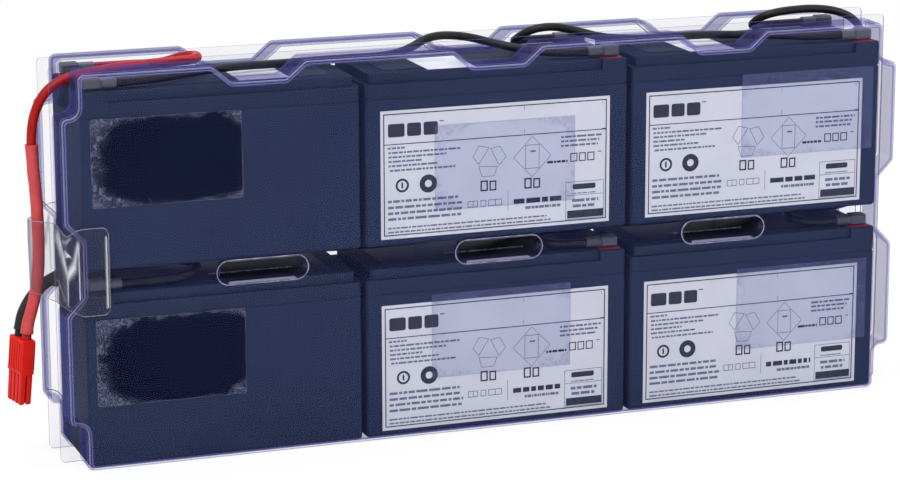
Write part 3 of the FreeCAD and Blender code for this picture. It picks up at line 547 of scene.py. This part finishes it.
JUMPER_ROUTES = {
    "jumper_upper_left": [
        (-0.2082, -0.0245, 0.2051), (-0.1932, -0.0245, 0.2051), (-0.1680, -0.0130, 0.2052),
        (-0.1420, -0.0040, 0.2058), (-0.1120, -0.0010, 0.2052), (-0.0800, -0.0020, 0.2060),
        (-0.0540, -0.0010, 0.2055), (-0.0400, 0.0000, 0.2080), (-0.0270, 0.0010, 0.2150),
        (-0.0080, 0.0020, 0.2138), (0.0100, 0.0000, 0.2086), (0.0260, -0.0120, 0.2054),
        (0.0395, -0.0245, 0.2051), (0.0545, -0.0245, 0.2051),
    ],
    "jumper_upper_right": [
        (0.0545, 0.0245, 0.2051), (0.0395, 0.0245, 0.2051), (0.0325, 0.0220, 0.2054),
        (0.0275, 0.0165, 0.2059), (0.0260, 0.0095, 0.2083), (0.0286, 0.0030, 0.2128),
        (0.0350, -0.0010, 0.2158), (0.0440, -0.0026, 0.2164), (0.0560, -0.0030, 0.2136),
        (0.0740, -0.0025, 0.2080), (0.1000, 0.0000, 0.2056), (0.1280, 0.0010, 0.2062),
        (0.1560, -0.0040, 0.2054), (0.1770, -0.0150, 0.2052), (0.1932, -0.0245, 0.2051),
        (0.2082, -0.0245, 0.2051),
    ],
    "jumper_right_side": [
        (0.2082, 0.0245, 0.2051), (0.1932, 0.0245, 0.2051), (0.1830, 0.0233, 0.2053),
        (0.1745, 0.0185, 0.2058), (0.1700, 0.0108, 0.2082), (0.1710, 0.0040, 0.2128),
        (0.1770, -0.0004, 0.2158), (0.1870, -0.0016, 0.2172), (0.2030, -0.0012, 0.2174),
        (0.2185, -0.0008, 0.2149), (0.2300, -0.0005, 0.2092), (0.2353, -0.0004, 0.1990),
        (0.2346, -0.0002, 0.1840), (0.2334, 0.0006, 0.1650), (0.2332, 0.0000, 0.1440),
        (0.2340, 0.0000, 0.1240), (0.2342, -0.0002, 0.1102), (0.2310, -0.0004, 0.1046),
        (0.2254, -0.0004, 0.1014), (0.2100, -0.0009, 0.1012), (0.1933, 0.0000, 0.1013),
        (0.1876, -0.0034, 0.1011), (0.1843, -0.0090, 0.1007), (0.1843, -0.0156, 0.1000),
        (0.1876, -0.0212, 0.0992), (0.1932, -0.0245, 0.0984), (0.2082, -0.0245, 0.0984),
    ],
    "jumper_lower_right": [
        (0.2082, 0.0245, 0.0984), (0.1932, 0.0245, 0.0984), (0.1650, 0.0130, 0.1005),
        (0.1400, 0.0030, 0.1015), (0.1080, 0.0020, 0.1008), (0.0760, 0.0030, 0.1014),
        (0.0540, 0.0014, 0.1010), (0.0399, 0.0000, 0.1013), (0.0340, -0.0034, 0.1011),
        (0.0307, -0.0090, 0.1007), (0.0307, -0.0156, 0.1000), (0.0340, -0.0212, 0.0992),
        (0.0395, -0.0245, 0.0984), (0.0545, -0.0245, 0.0984),
    ],
    "jumper_lower_left": [
        (0.0545, 0.0245, 0.0984), (0.0395, 0.0245, 0.0984), (0.0100, 0.0120, 0.1006),
        (-0.0220, 0.0040, 0.1012), (-0.0560, 0.0025, 0.1007), (-0.0900, 0.0040, 0.1013),
        (-0.1240, 0.0050, 0.1008), (-0.1520, 0.0120, 0.1010), (-0.1760, 0.0215, 0.0996),
        (-0.1932, 0.0245, 0.0984), (-0.2082, 0.0245, 0.0984),
    ],
}


SLEEVE_OUTER = 0.00325
SLEEVE_INNER = 0.00265
SLEEVE_CREASE = 0.00016         # depth of its slow creases
SLEEVE_FLARE = 0.00025          # at each mouth


def shrunk_sleeve(node, lead, skip, length, slot):
    """Loose sleeve that ends skip before the end of a lead, with slow creases and flared mouths."""
    path = even(trimmed(path_points(lead), skip, length), 0.0015)

    def outer(t, a):
        crease = noise.noise(Vector((t * length * 130, math.cos(a) * 0.8, math.sin(a) * 0.8)))
        mouth = SLEEVE_FLARE * (math.exp(-t * 30) + math.exp((t - 1) * 30))
        return SLEEVE_OUTER + SLEEVE_CREASE * crease + mouth

    name = node + "_skin"
    skin = tube(path, outer, lambda t, a: SLEEVE_INNER)
    return add_piece(name, mesh_of(name, skin), MATERIALS[slot], [node])


def add_wires():
    for name, route in JUMPER_ROUTES.items():
        wire(name + "_wire", route, JUMPER_D, "wire_black", [name])
    red = wire("red_lead_wire", RED_ROUTE, LEAD_D, "wire_red", ["red_lead"])
    black = wire("black_lead_wire", BLACK_ROUTE, LEAD_D, "wire_black", ["black_lead"])
    red_sleeve = shrunk_sleeve("red_sleeve", red, 0.0078, 0.102, "sleeve_red")
    black_sleeve = shrunk_sleeve("black_sleeve", black, 0.0085, 0.037, "sleeve_black")
    return red, black, red_sleeve, black_sleeve


PLUG_TOP = (-0.2562, 0.0, 0.0675)
PLUG_TURN = -75.0               # about its own length
PLUG_LEAN = -5.0
PLUG_LEAN_AXIS = (-0.34, -0.94, 0.0)
POLE = 0.0079                   # from the middle of one pole to that of the other
POLE_SEAM = 0.00008             # each pole's share of the gap between them
# A level is a height from the plug's top, and how far the surface stands in from the full width.
BODY_LEVELS = ((0.0, 0.0005), (-0.0004, 0.0001), (-0.0008, 0.0), (-0.0172, 0.0), (-0.0176, -0.0001),
               (-0.0185, -0.0001), (-0.0189, 0.0002), (-0.0191, 0.0007))
# The other pieces' levels are a height and half the width along each side.
RIB = ((-0.0012, 0.0003, 0.00025), (-0.0016, 0.0004, 0.00045), (-0.0166, 0.0004, 0.00045),
       (-0.0170, 0.0003, 0.00025))
RIB_PLACES = (-0.0022, 0.0004, 0.0026)
PRONG = ((-0.0186, 0.00150, 0.00150), (-0.0346, 0.00140, 0.00140), (-0.0353, 0.00105, 0.00105))
PRONG_PLACES = (-0.0019, 0.0019)
CORE = ((-0.0188, 0.0022, 0.0022), (-0.0330, 0.0021, 0.0021))
BLADE = ((-0.0325, 0.0006, 0.0020), (-0.0342, 0.0006, 0.0020), (-0.0347, 0.0003, 0.0017))


def stack(bm, cx, cy, levels, corner):
    """Closed column with rounded corners; each level is its height and its half widths."""
    loops = []
    for z, half_x, half_y in levels:
        r = min(corner, half_x * 0.8, half_y * 0.8)
        outline = rounded_outline(cx - half_x, cy - half_y, cx + half_x, cy + half_y, r, steps=3)
        loops.append([bm.verts.new((x, y, z)) for x, y in outline])
    bm.faces.new(loops[0])
    bm.faces.new(loops[-1][::-1])
    for here, there in zip(loops, loops[1:]):
        join_loops(bm, here, there)


def plug_pole(cx):
    """One pole's housing: a ribbed body with a lip, and four prongs round its contact."""
    bm = bmesh.new()
    half = POLE / 2 - POLE_SEAM
    stack(bm, cx, 0.0, [(z, half - inset, half - inset) for z, inset in BODY_LEVELS], 0.0008)
    for face in (-1, 1):
        for along in RIB_PLACES:
            stack(bm, cx + along, face * half, RIB, 0.0002)
    for px in PRONG_PLACES:
        for py in PRONG_PLACES:
            stack(bm, cx + px, py, PRONG, 0.0004)
    return bm


def add_plug():
    """Two-pole plug, with a core in painted shade and a contact blade in each pole."""
    place = Matrix.Translation(PLUG_TOP)
    place @= Matrix.Rotation(math.radians(PLUG_LEAN), 4, Vector(PLUG_LEAN_AXIS))
    place @= Matrix.Rotation(math.radians(PLUG_TURN), 4, "Z")
    plastic = MATERIALS["plug_plastic"]
    core = bmesh.new()
    blades = bmesh.new()
    parts = []
    for side, colour in ((1, "red"), (-1, "black")):
        cx = side * POLE / 2
        housing = ("plug_%s_housing" % colour, plug_pole(cx), plastic, "plug_plastic", ["plug_" + colour])
        parts.append(housing)
        stack(core, cx, 0.0, CORE, 0.0004)
        stack(blades, cx, 0.0, BLADE, 0.0002)
    parts.append(("plug_core_painted_shade", core, PLUG_CORE_PAINTED_SHADE, "plug_plastic", []))
    parts.append(("plug_blades", blades, MATERIALS["terminal_metal"], "terminal_metal", ["plug_contacts"]))
    pieces = []
    for name, bm, material, slot, replaced in parts:
        bm.transform(place)
        pieces.append(add_piece(name, mesh_of(name, bm, False), material, replaced))
    return pieces


# ---- pads and labels

PAD_FRONT = 0.00004             # from the front of the pad's own solid
PAD_BACK = 0.00032


def pad_mesh(name, low, high, label_high):
    """Pad over a label: its stretches past the label's right and top edges have a material of their own."""
    bm = bmesh.new()
    front, back = low.y + PAD_FRONT, low.y + PAD_BACK
    right, top = min(high.x, label_high.x), min(high.z, label_high.z)
    plate(bm, [(low.x, low.z), (right, low.z), (right, top), (low.x, top)], front, back)
    on_label = len(bm.faces)
    if high.z > top:
        plate(bm, [(low.x, top), (high.x, top), (high.x, high.z), (low.x, high.z)], front, back)
    if high.x > right:
        plate(bm, [(right, low.z), (high.x, low.z), (high.x, top), (right, top)], front, back)
    bm.faces.ensure_lookup_table()
    for face in bm.faces[on_label:]:
        face.material_index = 1
    return mesh_of(name, bm, False)


def add_pads():
    """Clear double-sided pads between the batteries and the front tray."""
    for number, (row, column) in enumerate(PLACES):
        node = "pad_%s_%s" % (row, column)
        name = node + "_gel"
        low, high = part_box(node)
        if column == "left":
            bm = bmesh.new()
            outline = rounded_outline(low.x, low.z, high.x, high.z, 0.0012, wander=0.0003,
                                      seed=number * 7.0)
            plate(bm, outline, low.y + PAD_FRONT, low.y + PAD_BACK)
            add_piece(name, mesh_of(name, bm, False), PAD_ON_CASE, [node])
        else:
            label_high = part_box("label_%s_%s" % (row, column))[1]
            mesh = pad_mesh(name, low, high, label_high)
            add_piece(name, mesh, PAD_ON_LABEL, [node])
            mesh.materials.append(PAD_OVER_CASE)


PRINT_FRONT = 0.00003           # how far print stands proud of its label
PRINT_BACK = 0.00001            # and how far it reaches into it


def printed(bm, outline, y):
    """Patch of print on a label whose face is at y."""
    plate(bm, outline, y - PRINT_FRONT, y + PRINT_BACK)


def printed_ring(bm, cx, cz, outer, inner, label_y, count=28):
    front, back = label_y - PRINT_FRONT, label_y + PRINT_BACK
    angles = [2 * math.pi * i / count for i in range(count)]
    loops = []
    for radius, y in ((outer, front), (inner, front), (inner, back), (outer, back)):
        points = [(cx + radius * math.cos(a), y, cz + radius * math.sin(a)) for a in angles]
        loops.append([bm.verts.new(point) for point in points])
    for k in range(4):
        join_loops(bm, loops[k], loops[(k + 1) % 4])


def bar(bm, x, z, width, height, y, tilt=0.0):
    """One bar of print, from its lower left corner."""
    dx, dz = -math.sin(tilt), math.cos(tilt)
    far_x, far_z = x + width * dz, z - width * dx
    corners = [(x, z), (far_x, far_z), (far_x + height * dx, far_z + height * dz),
               (x + height * dx, z + height * dz)]
    printed(bm, corners, y)


def frame_bars(bm, x0, z0, x1, z1, line, y):
    """Outline of a rectangle, from its lower left corner to its upper right one."""
    bar(bm, x0, z0, x1 - x0, line, y)
    bar(bm, x0, z1 - line, x1 - x0, line, y)
    bar(bm, x0, z0 + line, line, z1 - z0 - 2 * line, y)
    bar(bm, x1 - line, z0 + line, line, z1 - z0 - 2 * line, y)


def stroke(bm, start, end, line, y):
    """Thin straight line between two (x, z) points."""
    length = math.hypot(end[0] - start[0], end[1] - start[1])
    bar(bm, start[0], start[1], length, line, y, math.atan2(end[1] - start[1], end[0] - start[0]))


def words(bm, x0, x1, z, height, y, seed, reach=1.0):
    """A line of greeked print: bars of uneven length with small gaps."""
    x = x0
    i = 0
    while x < x1 - 0.0006:
        length = (0.0016 + 0.0075 * abs(noise.noise(Vector((i * 1.7, seed * 3.1, 0.5))))) * reach
        length = min(length, x1 - x)
        bar(bm, x, z, length, height, y)
        x += length + 0.0008 * reach
        i += 1


# Lines of greeked print: distance below the label's top, and from its left edge to each end, in mm.
SMALL_LINES = ((20.9, 3.9, 14.2), (23.4, 4.4, 45.5), (25.8, 4.4, 37.3), (28.2, 4.4, 23.1),
               (30.6, 4.4, 32.5), (33.1, 5.1, 42.3))
LARGE_LINES = ((50.2, 4.0, 44.5), (53.5, 4.0, 46.0), (56.7, 4.0, 46.7), (59.9, 4.0, 45.7))
SIDE_LINES = ((21.7, 103.4, 127.8), (24.1, 103.4, 125.9), (26.6, 103.4, 125.1))
FOOT_LINES = ((64.6, 3.9, 95.2), (66.8, 3.9, 98.3))


def add_print(row, column):
    """Generic print of one label: a frame, rules, plain blocks, line figures and rows of bars."""
    low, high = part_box("label_%s_%s" % (row, column))
    y = low.y
    bold = bmesh.new()
    fine = bmesh.new()
    seed = PLACES.index((row, column)) + 1.0

    def x(mm):
        return low.x + mm * 0.001

    def z(mm):
        return high.z - mm * 0.001

    frame_bars(bold, x(1.6), z(68.3), x(130.2), z(1.7), 0.00060, y)
    bar(bold, x(1.9), z(18.6), 0.1280, 0.0005, y)
    for left, right in ((4.2, 13.6), (15.0, 22.9), (24.3, 32.4)):
        printed(bold, rounded_outline(x(left), z(14.4), x(right), z(7.2), 0.0011, steps=3), y)
    bar(fine, x(33.3), z(7.6), 0.0026, 0.0007, y)
    for left, top, bottom in ((81.8, 2.7, 4.7), (81.9, 15.1, 17.3), (127.8, 2.8, 4.6)):
        bar(fine, x(left), z(bottom), 0.0003, (bottom - top) * 0.001, y)
    bar(bold, x(127.3), z(18.5), 0.0024, 0.0007, y)
    for k, (top, left, right) in enumerate(SMALL_LINES):
        words(fine, x(left), x(right), z(top), 0.00105, y, seed + k * 0.7, 0.7)
    printed_ring(bold, x(12.1), z(41.0), 0.0038, 0.0026, y)
    bar(bold, x(11.6), z(42.6), 0.0010, 0.0032, y)
    printed_ring(bold, x(26.9), z(41.0), 0.0050, 0.0020, y)
    for k, (top, left, right) in enumerate(LARGE_LINES):
        words(fine, x(left), x(right), z(top), 0.0014, y, seed + 5 + k)
    for k in range(3):
        turn = math.radians(270 - 120 * k)
        quadrangle(fine, x(61.6), z(30.6), 0.0092, 0.0040, turn, y)
    frame_bars(fine, x(82.6), z(37.2), x(90.8), z(24.0), 0.00032, y)
    corners = [(86.7, 19.6), (97.4, 30.6), (86.7, 41.6), (76.0, 30.6)]
    for k in range(4):
        (ax, az), (bx, bz) = corners[k], corners[(k + 1) % 4]
        stroke(fine, (x(ax), z(az)), (x(bx), z(bz)), 0.00028, y)
    bar(bold, x(85.6), z(28.0), 0.0032, 0.0007, y)
    for left, top, bottom in ((56.7, 41.8, 47.7), (82.1, 42.3, 48.2)):
        frame_bars(bold, x(left), z(bottom), x(left + 4.3), z(top), 0.00085, y)
        frame_bars(bold, x(left + 5.2), z(bottom), x(left + 9.2), z(top + 0.4), 0.00080, y)
    for left, right in ((49.4, 55.2), (56.8, 60.0), (61.2, 69.2)):
        frame_bars(fine, x(left), z(56.2), x(right), z(52.6), 0.00038, y)
        if right - left > 5:
            bar(fine, x((left + right) / 2), z(56.2), 0.00038, 0.0036, y)
    bar(fine, x(72.5), z(59.7), 0.00028, 0.0113, y)
    words(bold, x(75.9), x(103.8), z(56.2), 0.0027, y, seed + 11, 1.3)
    words(fine, x(82.7), x(103.2), z(59.5), 0.0015, y, seed + 12, 0.5)
    for k, (top, left, right) in enumerate(SIDE_LINES):
        words(fine, x(left), x(right), z(top), 0.0011, y, seed + 17 + k, 0.8)
    words(bold, x(95.4), x(107.4), z(35.2), 0.0013, y, seed + 21, 0.6)
    for left, width in ((108.9, 4.2), (114.0, 4.0), (118.9, 4.2)):
        frame_bars(bold, x(left), z(35.2), x(left + width), z(30.4), 0.00058, y)
    bar(fine, x(125.2), z(30.8), 0.0020, 0.0006, y)
    frame_bars(fine, x(106.3), z(67.5), x(128.8), z(46.4), 0.00032, y)
    printed(bold, rounded_outline(x(110.4), z(50.8), x(123.9), z(47.8), 0.0008, steps=3), y)
    words(fine, x(110.1), x(123.9), z(53.3), 0.0006, y, seed + 24, 0.5)
    bar(fine, x(106.4), z(54.2), 0.0223, 0.0003, y)
    words(fine, x(110.1), x(125.6), z(57.8), 0.0016, y, seed + 25)
    words(fine, x(110.6), x(124.4), z(60.9), 0.0016, y, seed + 26)
    bar(bold, x(107.3), z(66.8), 0.0213, 0.0043, y)
    for k, (top, left, right) in enumerate(FOOT_LINES):
        words(fine, x(left), x(right), z(top), 0.0009, y, seed + 31 + k, 0.7)
    for kind, bm, material in (("bold", bold, INK), ("fine", fine, FINE_INK)):
        name = "print_%s_%s_%s" % (kind, row, column)
        add_piece(name, mesh_of(name, bm, False), material)


def quadrangle(bm, cx, cz, reach, half, turn, y):
    """Outline of one slanted four-sided figure, set off from a centre in the direction turn."""
    corners = []
    for away, side in ((0.35, -1.5), (1.0, -1.05), (1.0, 0.75), (0.42, 1.25)):
        out, across = reach * away, half * side
        corners.append((cx + out * math.cos(turn) - across * math.sin(turn),
                        cz + out * math.sin(turn) + across * math.cos(turn)))
    for k in range(4):
        stroke(bm, corners[k], corners[(k + 1) % 4], 0.00030, y)


# ---- finger slots

def stadium(cx, cz, length, height, count=12):
    """Outline of a slot with round ends, as (x, z) points."""
    radius = height / 2
    half = length / 2 - radius
    points = []
    for side, start in ((1, -90), (-1, 90)):
        for i in range(count + 1):
            a = math.radians(start + 180 * i / count)
            points.append((cx + side * half + radius * math.cos(a), cz + radius * math.sin(a)))
    return points


def add_slot_lips():
    """Bead round the mouth of each front finger slot, and the clear shelf that carries on its floor, both in
    the painted lip highlight that draws pale lines at the mouth and across the slot.
    """
    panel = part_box("front_tray")[0].y
    length, height = SLOT_LENGTH + 2 * SLOT_FLARE, 2 * (SLOT_HALF + 0.0001)
    bm = bmesh.new()
    for i in (-1, 0, 1):
        cx = i * SLOT_PITCH
        loops = []
        for grow, y in ((BEAD, panel - 0.0001), (0.0, panel - 0.00025), (-0.0001, panel + 0.0001),
                        (BEAD, panel - 0.00002)):
            outline = stadium(cx, SLOT_Z, length + 2 * grow, height + 2 * grow)
            loops.append([bm.verts.new((x, y, z)) for x, z in outline])
        for k in range(4):
            join_loops(bm, loops[k], loops[(k + 1) % 4])
        low, high = SLOT_Z - SLOT_HALF, SLOT_Z - SLOT_HALF + SHEET
        left, right = cx - SLOT_LENGTH / 2, cx + SLOT_LENGTH / 2
        for edge in (SHELF_BACK, SHELF_BACK + 0.0003):
            plate(bm, [(left, low), (right, low), (right, high), (left, high)], edge, edge + 0.0002)
    add_piece("front_slot_lips", mesh_of("front_slot_lips", bm, False), SLOT_LIP_HIGHLIGHT)


# ---- tape

def smooth_route(corners, radius, spacing):
    """Points at an even spacing along (x, y) corners with round bends."""
    line = [Vector((*corners[0], 0))]
    for i in range(1, len(corners) - 1):
        here = Vector((*corners[i], 0))
        back = (Vector((*corners[i - 1], 0)) - here).normalized()
        ahead = (Vector((*corners[i + 1], 0)) - here).normalized()
        half = back.angle(ahead) / 2
        reach = radius / math.tan(half)
        for k in range(9):
            t = k / 8
            line.append(here + back * reach * (1 - t) ** 2 + ahead * reach * t ** 2)
    line.append(Vector((*corners[-1], 0)))
    return even(line, spacing)


def near(u, v, start, end, first, last):
    """How near a place is to a line between two others, from 0 to 1; the line is first to last wide."""
    du, dv = end[0] - start[0], end[1] - start[1]
    t = min(1.0, max(0.0, ((u - start[0]) * du + (v - start[1]) * dv) / (du * du + dv * dv)))
    distance = math.hypot(u - start[0] - du * t, v - start[1] - dv * t)
    return math.exp(-(distance / (first + (last - first) * t)) ** 2)


# Folds across the film's corner, each from one (u, v) place to another, with its two widths and
# its strength: u runs from the front panel to the side's rim, v from the bottom up.
# Each fold also pushes the film out and carries a painted white highlight.
FILM_FOLDS = (
    ((0.84, 0.84), (0.47, 0.45), 0.13, 0.06, 0.75),
    ((0.05, 0.82), (0.20, 0.58), 0.05, 0.07, 0.80),
    ((0.20, 0.58), (0.47, 0.44), 0.08, 0.06, 0.95),
    ((0.46, 0.44), (0.44, 0.06), 0.05, 0.025, 0.95),
    ((0.03, 0.80), (0.02, 0.20), 0.020, 0.020, 0.70),
    ((0.90, 0.30), (0.55, 0.10), 0.020, 0.020, 0.35),
    ((0.30, 0.95), (0.60, 0.88), 0.025, 0.030, 0.45),
)


FILM_STEP = 0.0007              # between its rows of points
FILM_ACROSS = 72                # steps from its bottom edge to its top edge
FILM_HALF = 0.00010             # half its thickness
FILM_BEND = 0.002               # radius of its bends
FILM_CORNER = 0.004             # radius of its cut corners
FILM_FRONT = 0.0069             # length of its stretch along the front panel
FILM_CORNER_U = 0.43            # u where it turns round the tray's corner
FILM_OVER_SLEEVES = ((-0.2518, -0.0058), (-0.2521, -0.0002))
FILM_FREE = 0.018               # from each end to where it leaves the tray
FILM_LIFT = 0.0095              # rise of its bottom edge beside the sleeves
FILM_DIP = 0.0034               # pinch of its edges at the tray's corner
RIM_Y = -0.0151                 # front tray's rim


def film_line(front, end):
    """The film's line seen from above, from the front panel round the leads to the rear panel."""
    tray_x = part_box("front_tray")[0].x
    corner, rim_x = tray_x + 0.0020, tray_x - 0.0003
    corners = [(end, front), (corner, front), (rim_x, RIM_Y), *FILM_OVER_SLEEVES,
               (rim_x, -RIM_Y), (corner, -front), (end, -front)]
    return corner, smooth_route(corners, FILM_BEND, FILM_STEP)


def film_rows():
    """Rows of points along the film, each with its place, its way out and push, its painted highlight and
    whether it is a cut edge.
    """
    low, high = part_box("tape")
    front, end = low.y + 0.00015, high.x
    corner, line = film_line(front, end)
    last = len(line) - 1
    rows = []
    for i, point in enumerate(line):
        along = i * FILM_STEP
        reach = min(along, (last - i) * FILM_STEP)
        ahead = (line[min(i + 1, last)] - line[max(i - 1, 0)]).normalized()
        outwards = Vector((-ahead.y, ahead.x, 0)) * -1
        trim = FILM_CORNER - math.sqrt(max(0.0, FILM_CORNER ** 2 - max(0.0, FILM_CORNER - reach) ** 2))
        free = min(1.0, max(0.0, (reach - FILM_FREE) / 0.006))
        lift = FILM_LIFT * min(1.0, max(0.0, (-0.2306 - point.x) / 0.0232))
        u = FILM_CORNER_U + (1 - FILM_CORNER_U) * (abs(front) - abs(point.y)) / (abs(front) - abs(RIM_Y))
        if point.x > corner:
            u = FILM_CORNER_U - FILM_CORNER_U * (point.x - corner) / FILM_FRONT
        dip = FILM_DIP * math.exp(-((u - 0.45) / 0.30) ** 2)
        bottom = low.z + lift + trim + 0.25 * dip
        top = high.z - trim - dip
        row = []
        for k in range(FILM_ACROSS + 1):
            v = k / FILM_ACROSS
            z = bottom + (top - bottom) * v
            folded = max([near(u, v, a, b, w0, w1) * strength for a, b, w0, w1, strength in FILM_FOLDS])
            painted_highlight_noise = 0.5 + 0.5 * noise.noise(Vector((along * 420, z * 160, 1.7)))
            ripple = noise.noise(Vector((along * 95, z * 38, 3.1)))
            push = free * (0.0004 + 0.0009 * folded + 0.0005 * ripple)
            # painted highlight along the folds, weaker on the back half, and a painted glint line near the
            # film's front end
            white = folded * (0.55 + 0.45 * painted_highlight_noise) * (0.6 if point.y > 0 else 1.0)
            glint = 0.75 * near((point.x - end) * 1000, v * 40, (-1.6, 3.0), (-1.6, 36.0), 0.45, 0.40)
            cut = 1.0 if k in (0, FILM_ACROSS) or i in (0, last) else 0.0
            row.append((Vector((point.x, point.y, z)), outwards, push, max(white, glint), cut))
        rows.append(row)
    return rows


def add_tape():
    """Clear film round the leads, stuck to both panels and crinkled round the corner."""
    bm = bmesh.new()
    # Vertex layers: the painted highlight on the crinkles, and the cut edges, which get a painted shade
    # line.
    painted_highlight_layer = bm.verts.layers.float.new("painted_crinkle_highlight")
    cuts = bm.verts.layers.float.new("cut")
    rows = film_rows()
    skins = []
    for side in (FILM_HALF, -FILM_HALF):
        skin = []
        for row in rows:
            verts = []
            for place, outwards, push, white, cut in row:
                vert = bm.verts.new(place + outwards * (push + side))
                vert[painted_highlight_layer], vert[cuts] = white, cut
                verts.append(vert)
            skin.append(verts)
        skins.append(skin)
    for skin in skins:
        for a, b in zip(skin, skin[1:]):
            for k in range(FILM_ACROSS):
                bm.faces.new((a[k], a[k + 1], b[k + 1], b[k]))
    outer, inner = skins
    for k in range(FILM_ACROSS):
        for end in (0, -1):
            bm.faces.new((outer[end][k], outer[end][k + 1], inner[end][k + 1], inner[end][k]))
    for i in range(len(rows) - 1):
        for k in (0, FILM_ACROSS):
            bm.faces.new((outer[i][k], outer[i + 1][k], inner[i + 1][k], inner[i][k]))
    return add_piece("tape_film", mesh_of("tape_film", bm), MATERIALS["clear_film"], ["tape"])


# ---- stage

def add_floor():
    """Pale floor that fades to white where it is seen, and keeps part of the object's shadow."""
    s = Shader("floor")
    colour = s.blend(s.noise(3, 2), (0.83, 0.83, 0.84), (0.86, 0.86, 0.86))
    ground = s.add("BsdfDiffuse", {"Color": colour}).outputs["BSDF"]
    glow = s.add("Emission", {"Color": (1, 1, 1, 1), "Strength": 1.0}).outputs["Emission"]
    rays = s.add("LightPath").outputs
    seen = s.calc("MAXIMUM", rays["Is Camera Ray"], rays["Is Transmission Ray"])
    seen = s.calc("MULTIPLY", seen, 0.85)
    mixed = s.add("MixShader", {0: seen, 1: ground, 2: glow}).outputs["Shader"]
    mesh = bpy.data.meshes.new("floor")
    mesh.from_pydata([(-6, -6, 0), (6, -6, 0), (6, 6, 0), (-6, 6, 0)], [], [(0, 1, 2, 3)])
    mesh.materials.append(s.surface(mixed))
    floor = bpy.data.objects.new("floor", mesh)
    scene.collection.objects.link(floor)


def add_world():
    """White where it is seen, mirrored or seen through, and a soft pale light otherwise."""
    s = Shader("studio", bpy.data.worlds)
    seen = s.add("Background", {"Color": (1, 1, 1, 1), "Strength": 1.0}).outputs["Background"]
    soft = s.add("Background", {"Color": (0.93, 0.95, 1.0, 1), "Strength": 0.80}).outputs["Background"]
    rays = s.add("LightPath").outputs
    shown = s.calc("MAXIMUM", rays["Is Camera Ray"], rays["Is Glossy Ray"])
    shown = s.calc("MAXIMUM", shown, rays["Is Transmission Ray"])
    mixed = s.add("MixShader", {0: shown, 1: soft, 2: seen}).outputs["Shader"]
    scene.world = s.surface(mixed, "OutputWorld")


LAMP_AIM = Vector((0, 0, 0.1))


def add_lamp(name, place, size, power):
    lamp = bpy.data.lights.new(name, "AREA")
    lamp.shape = "RECTANGLE"
    lamp.size, lamp.size_y = size
    lamp.energy = power
    piece = bpy.data.objects.new(name, lamp)
    piece.location = place
    piece.rotation_euler = (LAMP_AIM - Vector(place)).to_track_quat("-Z", "Y").to_euler()
    scene.collection.objects.link(piece)


CAMERA_AZIMUTH = math.radians(-19.867)
CAMERA_ELEVATION = math.radians(13.372)
CAMERA_ROLL = math.radians(-0.141)
CAMERA_AIM = Vector((-0.01605, 0.0, 0.10027))
CAMERA_DISTANCE = 1.67539
CAMERA_LENS = 121.463


def add_camera():
    """Camera at the front, a little to the left and above."""
    back = Vector((math.sin(CAMERA_AZIMUTH) * math.cos(CAMERA_ELEVATION),
                   -math.cos(CAMERA_AZIMUTH) * math.cos(CAMERA_ELEVATION), math.sin(CAMERA_ELEVATION)))
    data = bpy.data.cameras.new("camera")
    data.sensor_width = 36.0
    data.lens = CAMERA_LENS
    camera = bpy.data.objects.new("camera", data)
    camera.location = CAMERA_AIM + back * CAMERA_DISTANCE
    turn = Euler((math.pi / 2 - CAMERA_ELEVATION, 0, CAMERA_AZIMUTH)).to_matrix()
    turn @= Matrix.Rotation(CAMERA_ROLL, 3, "Z")
    camera.rotation_euler = turn.to_euler()
    scene.collection.objects.link(camera)
    scene.camera = camera


finish_cad_nodes()
red, black, red_sleeve, black_sleeve = add_wires()
plug = add_plug()
add_pads()
for row in ROWS:
    for column in COLUMNS[1:]:
        add_print(row, column)
add_slot_lips()
tape = add_tape()
add_floor()
add_world()
add_lamp("key", (-0.9, -1.3, 1.9), (1.6, 1.2), 40)
add_lamp("fill", (1.8, -1.2, 1.0), (1.2, 1.2), 18)
add_lamp("top", (0.1, 0.5, 1.8), (1.8, 0.9), 14)
add_camera()
scene.view_settings.view_transform = "Standard"
